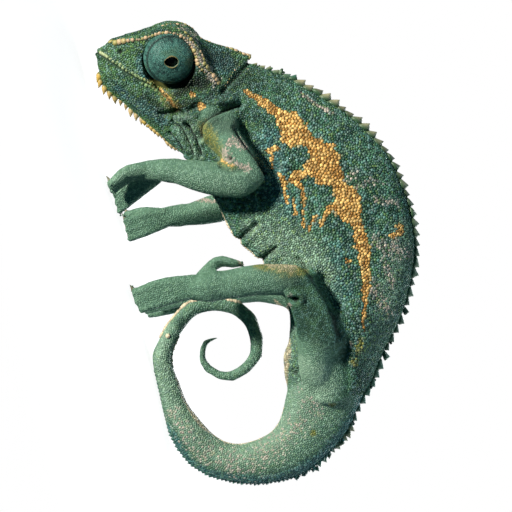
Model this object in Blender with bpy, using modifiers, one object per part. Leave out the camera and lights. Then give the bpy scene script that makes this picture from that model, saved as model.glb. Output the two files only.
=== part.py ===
"""A small side-striped chameleon, life size, as a still display model.

The animal stands on its four feet and on the outer turn of its curled tail. Its back is
arched and its head is bowed towards the floor. It faces -X, its left side is at -Y and
+Z is up. The floor is the plane z = 0 and the origin is under the middle of the animal.
Lengths are written in millimetres and multiplied by MM when a mesh is made.
"""

import math

import bmesh
import bpy
import numpy as np
from mathutils import Matrix, Vector

MM = 0.001
GAP = 0.3  # clear space between two neighbouring pieces

# Colours of the plain solids: red, green, blue, then roughness.
FLESH = (0.10, 0.27, 0.17, 0.6)
LIMB = (0.20, 0.38, 0.26, 0.6)
TURRET = (0.06, 0.24, 0.22, 0.5)
EYEBALL = (0.005, 0.005, 0.006, 0.1)

# The body from the neck to the curled tail. Each row is one cross-section:
# back x, back z, belly x, belly z, half the width.
BODY = [
    (-30.2, 20.4, -20.3, 9.7, 3.9),
    (-28.0, 24.9, -14.8, 12.6, 4.2),
    (-25.1, 29.3, -10.4, 14.4, 4.3),
    (-21.1, 33.8, -7.0, 15.2, 4.6),
    (-16.5, 37.9, -3.7, 16.0, 5.0),
    (-10.6, 41.3, -1.2, 17.6, 5.4),
    (-4.0, 42.7, 1.1, 19.5, 5.6),
    (2.9, 42.6, 5.0, 21.1, 5.6),
    (8.1, 41.0, 9.3, 21.6, 5.4),
    (14.0, 38.0, 12.6, 20.8, 5.1),
    (18.3, 34.6, 15.4, 19.6, 4.9),
    (23.2, 31.0, 18.4, 19.2, 4.6),
    (28.0, 26.7, 21.7, 18.3, 4.2),
    (32.1, 21.3, 25.3, 16.2, 3.8),
    (33.8, 15.0, 26.6, 13.1, 3.4),
    (32.6, 8.3, 26.4, 9.2, 3.0),
    (28.9, 2.5, 23.6, 6.0, 2.7),
    (22.2, -0.2, 19.4, 3.9, 2.3),
    (16.2, -0.5, 15.3, 3.4, 1.95),
    (10.9, 0.0, 11.4, 3.3, 1.65),
]
# The body's named lengths: first and last row of BODY, points round a ring, and how much a
# ring narrows towards the back. The last three lengths reach into the coil's rows.
BODY_CUTS = {
    "neck": (0.0, 2.25, 20, 0.16),
    "trunk": (2.25, 11.2, 20, 0.16),
    "tail_base": (11.2, 14.3, 14, 0.12),
    "tail_middle": (14.3, 18.2, 12, 0.05),
    "tail_curl": (18.2, 20.8, 10, 0.05),
    "tail_coil": (20.8, 23.4, 10, 0.0),
    "tail_tip": (23.4, 26.0, 8, 0.0),
}
ROWS_PER_STATION = 2.2
# The end of the tail winds inwards on itself and drifts towards the animal's right side.
COIL_CENTRE = (12.4, 10.4)
COIL_RADIUS_AT_TIP = 1.6
COIL_CLOSING = 0.92  # under 1 the coil closes early, over 1 late
COIL_TURNS = 1.24
COIL_ROWS = 7
COIL_DRIFT = 3.2
TIP_THICKNESS = 0.35

# Crest spines on the back: first and last row of BODY, spacing, height and base radius.
CREST_RUNS = {
    "neck": (1.05, 2.10, 1.7, 0.85, 0.55),
    "trunk": (2.40, 10.95, 1.8, 1.00, 0.60),
    "tail_base": (11.35, 13.6, 1.4, 1.05, 0.40),
}
CREST_LEAN = 0.75  # how far a spine's tip lies behind its base, in spine heights
CREST_ROOT = 0.45  # how deep a spine's base is sunk
SPIKE_POINT = 0.12  # the width of a spike's point, in widths of its base

# The head's own frame: origin between the eyes, axes to the snout, to the left and to the crown.
HEAD_ORIGIN = (-31.5, 0.0, 13.0)
HEAD_PITCH = math.radians(13.0)  # the snout points this far forward of straight down
HEAD_ROLL = math.radians(11.0)  # the crown tips this far towards the animal's left
# Skull sections: distance to the snout and height of the middle of the top, then distance
# from the middle and height of the brow, of the widest place and of the lower edge.
SKULL = [
    (11.5, 1.15, 0.45, 1.10, 0.60, 0.95, 0.30, 0.80),
    (11.0, 1.75, 0.90, 1.70, 1.40, 1.00, 0.90, 0.55),
    (9.6, 2.40, 1.35, 2.50, 2.10, 1.10, 1.50, 0.05),
    (8.0, 2.85, 1.80, 3.00, 2.60, 0.90, 2.00, -0.80),
    (6.0, 3.25, 2.60, 3.50, 3.20, 0.90, 2.50, -1.95),
    (4.0, 3.70, 3.30, 4.00, 3.60, 0.80, 2.90, -3.05),
    (2.0, 4.30, 3.90, 4.65, 3.80, 0.50, 3.20, -4.30),
    (0.0, 4.75, 4.20, 5.15, 4.00, 0.00, 3.40, -5.80),
    (-2.0, 4.50, 4.20, 4.65, 4.20, -0.60, 3.60, -7.00),
    (-4.0, 3.40, 3.60, 3.10, 4.40, -1.20, 3.60, -7.30),
    (-6.0, 2.40, 2.20, 1.95, 4.10, -2.00, 3.10, -6.60),
    (-8.0, 1.75, 1.20, 1.35, 3.10, -1.90, 2.30, -4.90),
    (-10.0, 1.15, 0.70, 0.80, 1.80, -1.00, 1.20, -2.50),
    (-11.3, 0.45, 0.35, 0.35, 0.70, -0.10, 0.40, -0.70),
]
# The brow and cheek ridge on one side: distance to the snout, distance from the middle, height.
BROW = [
    (9.2, 1.45, 2.55),
    (8.0, 1.80, 2.95),
    (4.7, 3.15, 3.80),
    (3.0, 3.65, 4.30),
    (0.9, 4.10, 5.05),
    (-1.4, 4.20, 4.75),
    (-3.2, 4.05, 3.60),
    (-4.4, 4.30, 1.50),
    (-5.3, 4.30, -0.60),
    (-6.6, 4.00, -2.90),
]
BROW_THICKNESS = 0.62
# The ridge along the top of the casque.
CASQUE_RIDGE = [(-3.6, 0.0, 3.25), (-6.4, 0.0, 2.10), (-9.2, 0.0, 1.30), (-11.6, 0.0, 0.15)]
CASQUE_THICKNESS = 0.60
# The rounded muscle behind the corner of the mouth, on one side: centre and half sizes.
CHEEK = ((-1.9, 2.6, -4.9), (3.4, 2.4, 3.2))
# Lower jaw and throat sections: distance to the snout, top, bottom, half the width.
JAW = [
    (11.3, 0.35, -0.90, 0.60),
    (10.7, 0.55, -2.40, 1.30),
    (9.5, -0.10, -4.10, 1.90),
    (8.0, -1.00, -5.75, 2.40),
    (6.0, -2.15, -7.55, 2.90),
    (4.0, -3.20, -9.40, 3.30),
    (2.0, -4.40, -11.20, 3.50),
    (0.0, -5.70, -13.20, 3.50),
    (-1.6, -7.20, -13.90, 3.20),
]
CHIN_SPINES = 13
CHIN_SPINE_LENGTHS = (1.15, 0.45)

# The eye turrets, measured from the head's middle plane, and the opening of the lids.
TURRET_OFFSET = 3.3
TURRET_RADIUS = 3.95
TURRET_DEPTH = 3.2
TURRET_INNER = 0.75
GAZE_BACK = math.radians(8.0)
GAZE_DOWN = math.radians(2.0)
LID_OPENING = 0.95
LID_HOLLOW = 1.7
EYEBALL_DEPTH = 0.62

# Each limb joint is x, distance from the middle plane, z, radius. SIDES tells left from right.
SIDES = {"left": -1.0, "right": 1.0}
ARMS = {
    "left": {
        "upper_arm": [(-20.2, 3.4, 17.4, 2.9), (-16.4, 5.0, 19.6, 2.8), (-11.5, 6.7, 20.0, 2.65)],
        "forearm": [(-11.3, 6.9, 19.4, 2.75), (-12.6, 7.1, 15.3, 2.65), (-14.3, 6.9, 11.6, 2.20)],
        "palm": [(-14.5, 6.9, 11.4, 2.15), (-15.6, 6.5, 8.0, 1.75), (-16.1, 6.0, 5.4, 1.35)],
    },
    "right": {
        "upper_arm": [(-19.4, 3.4, 18.2, 2.9), (-14.2, 5.2, 19.6, 2.8), (-8.8, 6.8, 19.0, 2.5)],
        "forearm": [(-8.8, 7.0, 18.7, 2.5), (-8.5, 7.3, 14.6, 2.4), (-8.4, 7.1, 10.7, 2.0)],
        "palm": [(-8.4, 7.1, 10.5, 1.95), (-8.8, 6.8, 7.4, 1.75), (-9.1, 6.4, 5.2, 1.40)],
    },
}
LEGS = {
    "left": {
        "thigh": [(20.6, 2.8, 24.8, 3.6), (13.4, 5.0, 25.6, 3.5), (5.4, 7.0, 24.4, 2.65)],
        "shin": [(4.7, 7.5, 23.4, 2.55), (3.5, 8.1, 18.8, 2.45), (3.2, 8.0, 14.4, 2.35)],
        "sole": [(3.2, 8.0, 14.2, 2.35), (2.8, 7.8, 11.2, 2.40), (2.6, 7.5, 8.4, 1.70)],
    },
    "right": {
        "thigh": [(20.6, 2.8, 24.8, 3.6), (14.2, 5.0, 25.0, 3.5), (7.6, 7.0, 24.0, 2.65)],
        "shin": [(6.9, 7.4, 22.8, 2.55), (4.9, 7.9, 18.4, 2.40), (4.4, 7.7, 13.6, 2.25)],
        "sole": [(4.4, 7.7, 13.4, 2.25), (4.0, 7.5, 10.0, 2.25), (3.8, 7.2, 7.6, 1.65)],
    },
}
# Toe bundles: how many toes, root, bend and tip of the middle toe, the step from one toe to
# the next, the radius at the root. A point is x, distance from the middle plane, z.
TOES = {
    "left_hand": [
        (2, (-16.1, 6.3, 6.6), (-16.0, 6.7, 3.2), (-14.7, 6.7, 0.55), (0.75, -1.35, 0.1), 1.20),
        (3, (-15.2, 5.2, 7.4), (-13.9, 3.6, 3.6), (-12.4, 3.0, 0.55), (1.25, -0.25, 0.0), 0.95),
    ],
    "right_hand": [
        (2, (-9.0, 7.4, 6.2), (-9.8, 8.8, 3.0), (-9.9, 9.4, 0.55), (1.45, 0.2, 0.0), 1.10),
        (3, (-8.8, 5.8, 6.4), (-8.6, 4.8, 3.2), (-8.2, 4.5, 0.55), (1.35, 0.2, 0.0), 0.95),
    ],
    "left_foot": [
        (3, (2.3, 7.9, 9.8), (2.1, 8.3, 5.0), (2.6, 8.2, 0.65), (1.3, 0.0, 0.35), 1.15),
        (2, (1.2, 6.0, 10.4), (-0.4, 5.6, 13.3), (0.4, 5.6, 15.8), (0.4, -1.0, 0.0), 0.95),
    ],
    "right_foot": [
        (3, (3.8, 8.0, 8.6), (3.7, 9.3, 4.4), (3.7, 9.8, 0.55), (1.45, 0.1, 0.0), 1.05),
        (2, (3.7, 6.8, 8.4), (3.6, 5.9, 4.4), (3.7, 5.6, 0.55), (1.45, 0.0, 0.0), 1.00),
    ],
}
LIMB_ROOT = 1.6  # a limb reaches this near the middle plane inside the body
TOE_TAPER = 0.66
CLAW = (0.42, 1.0)  # radius at the toe, length
CLAW_REACH = 1.0  # how strongly the claws of a standing toe turn to the animal's front

# Triangles left in a piece after it is smoothed.
TRIANGLES = {"head": 850, "lower_jaw": 360, "limb": 140, "paw": 310}


def clear_scene():
    """Removes every object that the scene starts with."""
    for item in list(bpy.data.objects):
        bpy.data.objects.remove(item)


def collection(name):
    """A new collection in the scene."""
    made = bpy.data.collections.new(name)
    bpy.context.scene.collection.children.link(made)
    return made


def paint(piece, look):
    """Gives a piece a Principled material of its own from red, green, blue and roughness."""
    made = bpy.data.materials.new(piece.name + "_finish")
    made.use_nodes = True
    shader = made.node_tree.nodes["Principled BSDF"]
    shader.inputs["Base Color"].default_value = (*look[:3], 1.0)
    shader.inputs["Roughness"].default_value = look[3]
    piece.data.materials.clear()
    piece.data.materials.append(made)


# ---------------------------------------------------------------- shapes


def smooth_rows(rows, places):
    """Rows read at fractional places along a smooth Catmull-Rom curve through all of them."""
    rows = np.asarray(rows, float)
    ends = np.vstack([2 * rows[0] - rows[1], rows, 2 * rows[-1] - rows[-2]])
    places = np.clip(np.asarray(places, float), 0, len(rows) - 1)
    start = np.minimum(places.astype(int), len(rows) - 2)
    t = (places - start)[:, None]
    a, b, c, d = (ends[start + k] for k in range(4))
    return 0.5 * (
        2 * b
        + (c - a) * t
        + (2 * a - 5 * b + 4 * c - d) * t**2
        + (3 * b - 3 * c + d - a) * t**3
    )


def loft(centres, ups, sides, around=16, power=2.0, keel=0.0):
    """A closed shape through oval rings, capped flat.

    A ring's half axes are ups and sides. power is the superellipse power, 2 for an
    ellipse, and keel narrows the ring towards its upper end.
    """
    shape = bmesh.new()
    rings = []
    for centre, up, side in zip(centres, ups, sides):
        ring = []
        for k in range(around):
            angle = 2 * math.pi * k / around
            c, s = math.cos(angle), math.sin(angle)
            rise = math.copysign(abs(c) ** (2 / power), c)
            out = math.copysign(abs(s) ** (2 / power), s) * (1 - keel * rise)
            ring.append(shape.verts.new(Vector((centre + rise * up + out * side) * MM)))
        rings.append(ring)
    for first, second in zip(rings, rings[1:]):
        for k in range(around):
            m = (k + 1) % around
            shape.faces.new((first[k], first[m], second[m], second[k]))
    for ring in (rings[0], rings[-1]):
        shape.faces.new(ring)
    bmesh.ops.recalc_face_normals(shape, faces=shape.faces)
    return shape


def path_frames(points):
    """Unit up and side vectors across a path, the side vector as near to +Y as it can be."""
    tangents = np.gradient(points, axis=0)
    tangents /= np.linalg.norm(tangents, axis=1)[:, None]
    sides = np.array([0.0, 1.0, 0.0]) - tangents * tangents[:, 1:2]
    sides /= np.linalg.norm(sides, axis=1)[:, None]
    return np.cross(tangents, sides), sides


def rod(points, radii, around=12, steps=4):
    """A smooth tapering rod through a few points, with balls that round its ends."""
    rows = np.column_stack([points, radii])
    rows = smooth_rows(rows, np.linspace(0, len(rows) - 1, (len(rows) - 1) * steps + 1))
    ups, sides = path_frames(rows[:, :3])
    radius = rows[:, 3:4]
    shapes = [loft(rows[:, :3], ups * radius, sides * radius, around)]
    for end in (0, -1):
        shapes.append(ball(rows[end, :3], (rows[end, 3],) * 3))
    return shapes


def ball(centre, radii, turn=None, around=12):
    """A rounded lump with its own half sizes along x, y and z."""
    shape = bmesh.new()
    rings = around // 2 + 1
    bmesh.ops.create_uvsphere(shape, u_segments=around, v_segments=rings, radius=1.0)
    spot = Matrix.Translation(Vector(centre) * MM) @ (turn or Matrix.Identity(4))
    shape.transform(spot @ Matrix.Diagonal((*[r * MM for r in radii], 1.0)))
    return shape


def spike(base, tip, radius, around=4):
    """A sharp cone from base to tip."""
    base, tip = Vector(base) * MM, Vector(tip) * MM
    shape = bmesh.new()
    bmesh.ops.create_cone(
        shape,
        cap_ends=True,
        segments=around,
        radius1=radius * MM,
        radius2=radius * MM * SPIKE_POINT,
        depth=(tip - base).length,
    )
    aim = (tip - base).to_track_quat("Z", "Y").to_matrix().to_4x4()
    turn = Matrix.Rotation(math.pi / around, 4, "Z")
    shape.transform(Matrix.Translation((base + tip) / 2) @ aim @ turn)
    return shape


def to_mesh(shapes, name):
    """One mesh from several bmesh shapes, which it frees."""
    whole = bmesh.new()
    for shape in shapes:
        part = bpy.data.meshes.new("part")
        shape.to_mesh(part)
        shape.free()
        whole.from_mesh(part)
        bpy.data.meshes.remove(part)
    mesh = bpy.data.meshes.new(name)
    whole.to_mesh(mesh)
    whole.free()
    return mesh


# ---------------------------------------------------------------- pieces


def settle(piece):
    """Replaces a piece's mesh with the result of its modifiers."""
    bpy.context.view_layer.update()
    graph = bpy.context.evaluated_depsgraph_get()
    result = bpy.data.meshes.new_from_object(piece.evaluated_get(graph))
    piece.modifiers.clear()
    piece.data = result


def thin(piece, triangles):
    """Thins a mesh to about so many triangles."""
    count = sum(len(face.vertices) - 2 for face in piece.data.polygons)
    reduce = piece.modifiers.new("reduce", "DECIMATE")
    reduce.ratio = min(1.0, triangles / count)
    settle(piece)


def fuse(piece, voxel, triangles, smoothing=3):
    """Melts overlapping shapes into one closed skin and thins it."""
    melt = piece.modifiers.new("melt", "REMESH")
    melt.mode = "VOXEL"
    melt.voxel_size = voxel * MM
    soften = piece.modifiers.new("soften", "SMOOTH")
    soften.factor = 0.5
    soften.iterations = smoothing
    settle(piece)
    thin(piece, triangles)


def swell(piece, amount):
    """Moves a closed mesh's surface outwards by a distance."""
    shape = bmesh.new()
    shape.from_mesh(piece.data)
    shape.normal_update()
    moved = [(v, v.co + v.normal * amount * MM * v.calc_shell_factor()) for v in shape.verts]
    for vertex, point in moved:
        vertex.co = point
    shape.to_mesh(piece.data)
    shape.free()


def trim(piece, point, outward):
    """Cuts off what lies beyond a plane and closes the cut with a flat face."""
    shape = bmesh.new()
    shape.from_mesh(piece.data)
    cut = bmesh.ops.bisect_plane(
        shape,
        geom=shape.verts[:] + shape.edges[:] + shape.faces[:],
        plane_co=Vector(point) * MM,
        plane_no=outward,
        clear_outer=True,
    )
    rim = [item for item in cut["geom_cut"] if isinstance(item, bmesh.types.BMEdge)]
    bmesh.ops.triangle_fill(shape, edges=rim, use_beauty=True)
    bmesh.ops.recalc_face_normals(shape, faces=shape.faces)
    shape.to_mesh(piece.data)
    shape.free()


def keep_largest(piece):
    """Drops the loose crumbs that a cut can leave."""
    shape = bmesh.new()
    shape.from_mesh(piece.data)
    islands, seen = [], set()
    for start in shape.verts:
        if start in seen:
            continue
        island, todo = [], [start]
        seen.add(start)
        while todo:
            vertex = todo.pop()
            island.append(vertex)
            for edge in vertex.link_edges:
                other = edge.other_vert(vertex)
                if other not in seen:
                    seen.add(other)
                    todo.append(other)
        islands.append(island)
    islands.sort(key=len)
    crumbs = [vertex for island in islands[:-1] for vertex in island]
    bmesh.ops.delete(shape, geom=crumbs, context="VERTS")
    shape.to_mesh(piece.data)
    shape.free()


class Animal:
    """The pieces of the animal by name, and the swollen copies that cut their neighbours."""

    def __init__(self):
        self.group = collection("chameleon")
        self.helpers = collection("cutters")
        self.pieces = {}
        self.cutters = {}

    def add(self, name, shapes, look):
        """Adds a piece made of one or more shapes."""
        piece = bpy.data.objects.new(name, to_mesh(shapes, name))
        self.group.objects.link(piece)
        paint(piece, look)
        self.pieces[name] = piece
        return piece

    def helper(self, name, mesh):
        """Adds a hidden shape that only serves to cut or join."""
        made = bpy.data.objects.new(name, mesh)
        self.helpers.objects.link(made)
        made.hide_render = True
        made.display_type = "WIRE"
        return made

    def keep_cutter(self, name, triangles=None, margin=GAP):
        """Keeps a swollen copy of a piece as it is now, to cut its neighbours with."""
        cutter = self.helper(name + "_cutter", self.pieces[name].data.copy())
        if triangles:
            thin(cutter, triangles)
        swell(cutter, margin)
        self.cutters[name] = cutter

    def trim_root(self, name, point, outward):
        """Cuts a piece off flat beyond a plane, and its cutter a gap further out."""
        trim(self.pieces[name], point, outward)
        trim(self.cutters[name], point + outward * GAP, outward)

    def boolean(self, name, other, operation):
        """Cuts a helper out of a piece, or joins it on."""
        piece = self.pieces[name]
        change = piece.modifiers.new(operation.lower(), "BOOLEAN")
        change.operation = operation
        change.object = other
        settle(piece)

    def cut(self, name, *neighbours):
        """Cuts the swollen neighbours out of a piece, which leaves a gap between them."""
        for neighbour in neighbours:
            self.boolean(name, self.cutters[neighbour], "DIFFERENCE")
        keep_largest(self.pieces[name])

    def join(self, name, shapes):
        """Joins small closed shapes onto a piece as one body."""
        extra = self.helper(name + "_extra", to_mesh(shapes, name + "_extra"))
        self.boolean(name, extra, "UNION")


# ---------------------------------------------------------------- head


def head_frame():
    """The matrix from the head's own frame to the model's."""
    forward = Vector((-math.sin(HEAD_PITCH), 0.0, -math.cos(HEAD_PITCH)))
    crown = Vector((-math.cos(HEAD_PITCH), 0.0, math.sin(HEAD_PITCH)))
    left = Vector((0.0, -1.0, 0.0))
    turned = Matrix((forward, left, crown)).transposed().to_4x4()
    roll = Matrix.Rotation(-HEAD_ROLL, 4, (1.0, 0.0, 0.0))
    return Matrix.Translation(HEAD_ORIGIN) @ turned @ roll


def in_head(points):
    """Points of the head's own frame, in the model's frame."""
    frame = head_frame()
    return np.array([frame @ Vector(point) for point in points])


def head_axes():
    """The head frame's three unit vectors, in the model's frame."""
    return [np.array(row) for row in head_frame().to_3x3().transposed()]


def jaw_loft(rows):
    """The jaw and throat through sections that are narrower below."""
    rows = smooth_rows(rows, np.linspace(0, len(rows) - 1, 3 * len(rows)))
    centres = in_head([(f, 0.0, (top + low) / 2) for f, top, low, _ in rows])
    _, left, crown = head_axes()
    ups = ((rows[:, 1] - rows[:, 2]) / 2)[:, None] * crown
    return loft(centres, ups, rows[:, 3:4] * left, around=24, keel=-0.28)


def skull(rows):
    """A closed shape through the skull's sections, each smooth through eight places."""
    rows = smooth_rows(rows, np.linspace(0, len(rows) - 1, 3 * len(rows)))
    frame = head_frame()
    shape = bmesh.new()
    rings = []
    for f, top, brow_y, brow, side_y, side, low_y, low in rows:
        right = [(brow_y, brow), (side_y, side), (low_y, low)]
        left = [(-y, h) for y, h in reversed(right)]
        places = np.array([(0.0, top), *right, (0.0, low - 0.1), *left])
        closed = np.vstack([places[-1:], places, places[:2]])
        around = smooth_rows(closed, np.arange(24) / 3 + 1)
        rings.append([shape.verts.new(frame @ Vector((f, y, h)) * MM) for y, h in around])
    for first, second in zip(rings, rings[1:]):
        for k in range(len(first)):
            m = (k + 1) % len(first)
            shape.faces.new((first[k], first[m], second[m], second[k]))
    for ring in (rings[0], rings[-1]):
        shape.faces.new(ring)
    bmesh.ops.recalc_face_normals(shape, faces=shape.faces)
    return shape


def on_side(points, side):
    """Head-frame points given for the left, put on one side: side is -1 for the left."""
    return [(f, -side * y, h) for f, y, h in points]


def ridge(points, thickness):
    """A rounded ridge along points of the head's own frame."""
    return rod(in_head(points), [thickness] * len(points), around=8, steps=3)


def make_head(animal):
    """The skull with its brows and casque, and the lower jaw with the throat."""
    turn = Matrix(head_axes()).transposed().to_4x4()
    shapes = [skull(SKULL)]
    shapes += ridge(CASQUE_RIDGE, CASQUE_THICKNESS)
    for side in SIDES.values():
        shapes += ridge(on_side(BROW, side), BROW_THICKNESS)
        centre, radii = CHEEK
        shapes.append(ball(in_head(on_side([centre], side))[0], radii, turn))
    head = animal.add("head", shapes, FLESH)
    fuse(head, 0.32, TRIANGLES["head"], smoothing=2)
    animal.keep_cutter("head", triangles=TRIANGLES["head"] / 3, margin=GAP + 0.1)

    jaw = animal.add("lower_jaw", [jaw_loft(JAW)], FLESH)
    fuse(jaw, 0.35, TRIANGLES["lower_jaw"], smoothing=2)
    animal.keep_cutter("lower_jaw", triangles=TRIANGLES["lower_jaw"] / 2, margin=GAP + 0.1)
    animal.cut("lower_jaw", "head")
    animal.join("lower_jaw", chin_spines())


def chin_spines():
    """The row of soft spines under the chin, longest at the front."""
    keel = [(f, 0.0, low) for f, _, low, _ in JAW[1:8]]
    shapes = []
    for k, (f, _, low) in enumerate(smooth_rows(keel, np.linspace(0.05, 4.6, CHIN_SPINES))):
        share = k / (CHIN_SPINES - 1)
        length = CHIN_SPINE_LENGTHS[0] * (1 - share) + CHIN_SPINE_LENGTHS[1] * share
        root, tip = in_head([(f, 0.0, low + 0.45), (f + 0.5 * length, 0.0, low - length)])
        shapes.append(spike(root, tip, 0.22 + 0.18 * length))
    return shapes


def make_eyes(animal):
    """The two lid turrets in their sockets, each with an eyeball in its opening."""
    frame = head_frame()
    for name, side in SIDES.items():
        gaze = Vector((-math.sin(GAZE_BACK), -side, -math.sin(GAZE_DOWN))).normalized()
        middle = Vector((0.0, -side * TURRET_OFFSET, 0.0))
        turn = frame.to_3x3().to_4x4() @ gaze.to_track_quat("Z", "X").to_matrix().to_4x4()
        radii = (TURRET_RADIUS, TURRET_RADIUS, TURRET_DEPTH)
        turret = animal.add(name + "_eye_turret", [ball(frame @ middle, radii, turn)], TURRET)
        inner = frame @ Vector((0.0, -side * TURRET_INNER, 0.0))
        animal.keep_cutter(turret.name)
        animal.trim_root(turret.name, inner, frame.to_3x3() @ Vector((0.0, side, 0.0)))
        animal.cut("head", turret.name)
        animal.cut("lower_jaw", turret.name)

        hollow = bmesh.new()
        bmesh.ops.create_cone(
            hollow,
            cap_ends=True,
            segments=12,
            radius1=(LID_OPENING + GAP) * MM,
            radius2=(LID_OPENING + GAP) * MM,
            depth=2 * LID_HOLLOW * MM,
        )
        lids = frame @ (middle + gaze * TURRET_DEPTH)
        hollow.transform(Matrix.Translation(lids * MM) @ turn)
        cutter = animal.helper(name + "_lid_cutter", to_mesh([hollow], "hollow"))
        animal.boolean(turret.name, cutter, "DIFFERENCE")

        pupil = frame @ (middle + gaze * (TURRET_DEPTH - LID_HOLLOW + GAP + EYEBALL_DEPTH))
        radii = (LID_OPENING, LID_OPENING, EYEBALL_DEPTH)
        animal.add(name + "_eyeball", [ball(pupil, radii, turn, around=10)], EYEBALL)


# ---------------------------------------------------------------- body and tail


def body_table():
    """The rows of BODY with the coil's rows after them: centre, up vector and half width."""
    rows = np.asarray(BODY, float)
    level = np.zeros(len(rows))
    back = np.column_stack([rows[:, 0], level, rows[:, 1]])
    belly = np.column_stack([rows[:, 2], level, rows[:, 3]])
    table = np.column_stack([(back + belly) / 2, (back - belly) / 2, rows[:, 4]])
    arm = table[-1, [0, 2]] - COIL_CENTRE
    start = math.atan2(arm[1], arm[0])
    radius, thickness = np.linalg.norm(arm), np.linalg.norm(table[-1, 3:6])
    for k in range(1, COIL_ROWS + 1):
        share = k / COIL_ROWS
        angle = start - 2 * math.pi * COIL_TURNS * share
        reach = radius + (COIL_RADIUS_AT_TIP - radius) * share**COIL_CLOSING
        out = np.array([math.cos(angle), 0.0, math.sin(angle)])
        half = thickness + (TIP_THICKNESS - thickness) * share
        middle = np.array([COIL_CENTRE[0], COIL_DRIFT * share**0.7, COIL_CENTRE[1]])
        table = np.vstack([table, [*(middle + out * reach), *(out * half), half]])
    return table


def crest_spines(table, run):
    """Spines that stand along the back between two rows and lean towards the tail."""
    first, last, spacing, height, radius = run
    fine = smooth_rows(table, np.linspace(first, last, 200))
    back = fine[:, :3] + fine[:, 3:6]
    steps = np.linalg.norm(np.diff(back, axis=0), axis=1)
    travel = np.concatenate([[0.0], np.cumsum(steps)])
    count = int(travel[-1] / spacing) + 1
    shapes = []
    for k in range(count):
        at = min(np.searchsorted(travel, travel[-1] * k / (count - 1)), len(steps) - 1)
        along = (back[at + 1] - back[at]) / steps[at]
        up = fine[at, 3:6] / np.linalg.norm(fine[at, 3:6])
        tip = back[at] + up * height + along * height * CREST_LEAN
        shapes.append(spike(back[at] - up * CREST_ROOT, tip, radius))
    return shapes


def make_body(animal):
    """The neck, the trunk and the lengths of the tail."""
    table = body_table()
    for name, (first, last, around, keel) in BODY_CUTS.items():
        places = np.linspace(first, last, int(round((last - first) * ROWS_PER_STATION)) + 1)
        ends = smooth_rows(table, [first, first + 0.1, last - 0.1, last])[:, :3]
        places[-1] -= 0.05 * GAP / np.linalg.norm(ends[3] - ends[2])
        if first > 0:
            places[0] += 0.05 * GAP / np.linalg.norm(ends[1] - ends[0])
        rows = smooth_rows(table, places)
        sides = np.zeros((len(rows), 3))
        sides[:, 1] = rows[:, 6]
        piece = loft(rows[:, :3], rows[:, 3:6], sides, around, power=1.9, keel=keel)
        animal.add(name, [piece], FLESH)


def make_crest(animal):
    """The crest, joined onto the neck, the trunk and the base of the tail."""
    table = body_table()
    for name, run in CREST_RUNS.items():
        animal.join(name, crest_spines(table, run))


# ---------------------------------------------------------------- limbs


def limb_points(rows, side):
    """Limb rows as points in the model's frame, and their radii."""
    rows = np.asarray(rows, float)
    points = rows[:, :3].copy()
    points[:, 1] *= side
    return points, rows[:, 3]


def make_paw(animal, name, side, palm):
    """A hand or foot: the palm and two bundles of toes. Returns the claws for its toes."""
    points, radii = limb_points(palm, side)
    shapes = rod(points, radii)
    claws = []
    for count, root, bend, tip, step, radius in TOES[name]:
        for k in range(count):
            shift = (k - (count - 1) / 2) * np.array(step)
            toe = np.array([root, bend, tip], float) + np.outer([0.55, 0.9, 1.0], shift)
            toe[:, 1] *= side
            shapes += rod(toe, [radius, radius * 0.9, radius * TOE_TAPER], around=8)
            heading = toe[2] - toe[1]
            if heading[2] < 0:
                heading *= (1.0, 1.0, 0.0)
                heading[0] -= CLAW_REACH
            heading = heading / np.linalg.norm(heading)
            start = toe[2] + heading * radius * TOE_TAPER * 0.5
            claws.append(spike(start, start + heading * CLAW[1], CLAW[0]))
    fuse(animal.add(name, shapes, LIMB), 0.26, TRIANGLES["paw"], smoothing=2)
    return claws


def make_limbs(animal):
    """Both arms and both legs, each in three named pieces."""
    for limb, upper, lower, palm, paw in (
        (ARMS, "upper_arm", "forearm", "palm", "hand"),
        (LEGS, "thigh", "shin", "sole", "foot"),
    ):
        for name, side in SIDES.items():
            upper_name, lower_name, paw_name = (f"{name}_{part}" for part in (upper, lower, paw))
            for full, segment in ((upper_name, upper), (lower_name, lower)):
                points, radii = limb_points(limb[name][segment], side)
                piece = animal.add(full, rod(points, radii), LIMB)
                fuse(piece, 0.35, TRIANGLES["limb"])
                animal.keep_cutter(full)
                animal.trim_root(full, Vector((0.0, side * LIMB_ROOT, 0.0)), Vector((0.0, -side, 0.0)))
            claws = make_paw(animal, paw_name, side, limb[name][palm])
            animal.cut(paw_name, lower_name)
            animal.cut(lower_name, upper_name)
            animal.join(paw_name, claws)
            trim(animal.pieces[paw_name], (0.0, 0.0, 0.0), (0.0, 0.0, -1.0))
            for neighbour in ("neck", "trunk", "tail_base"):
                animal.cut(neighbour, upper_name)


def centre_over_origin(pieces):
    """Shifts every piece so that the box round them all is centred over the origin."""
    corners = np.array([v.co for piece in pieces for v in piece.data.vertices])
    middle = (corners.min(0) + corners.max(0)) / 2
    for piece in pieces:
        piece.data.transform(Matrix.Translation((-middle[0], -middle[1], 0.0)))


def main():
    """Builds the animal."""
    clear_scene()
    animal = Animal()
    make_head(animal)
    make_eyes(animal)
    make_body(animal)
    animal.cut("neck", "head", "lower_jaw")
    make_limbs(animal)
    make_crest(animal)
    for name in ("tail_middle", "tail_curl"):
        trim(animal.pieces[name], (0.0, 0.0, 0.0), (0.0, 0.0, -1.0))
    centre_over_origin(list(animal.pieces.values()))


main()
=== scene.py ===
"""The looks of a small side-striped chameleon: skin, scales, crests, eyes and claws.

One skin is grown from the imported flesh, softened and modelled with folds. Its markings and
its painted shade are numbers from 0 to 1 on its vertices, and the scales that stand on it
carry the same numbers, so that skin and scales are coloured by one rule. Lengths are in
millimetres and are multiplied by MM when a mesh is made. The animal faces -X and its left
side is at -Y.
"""

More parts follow.
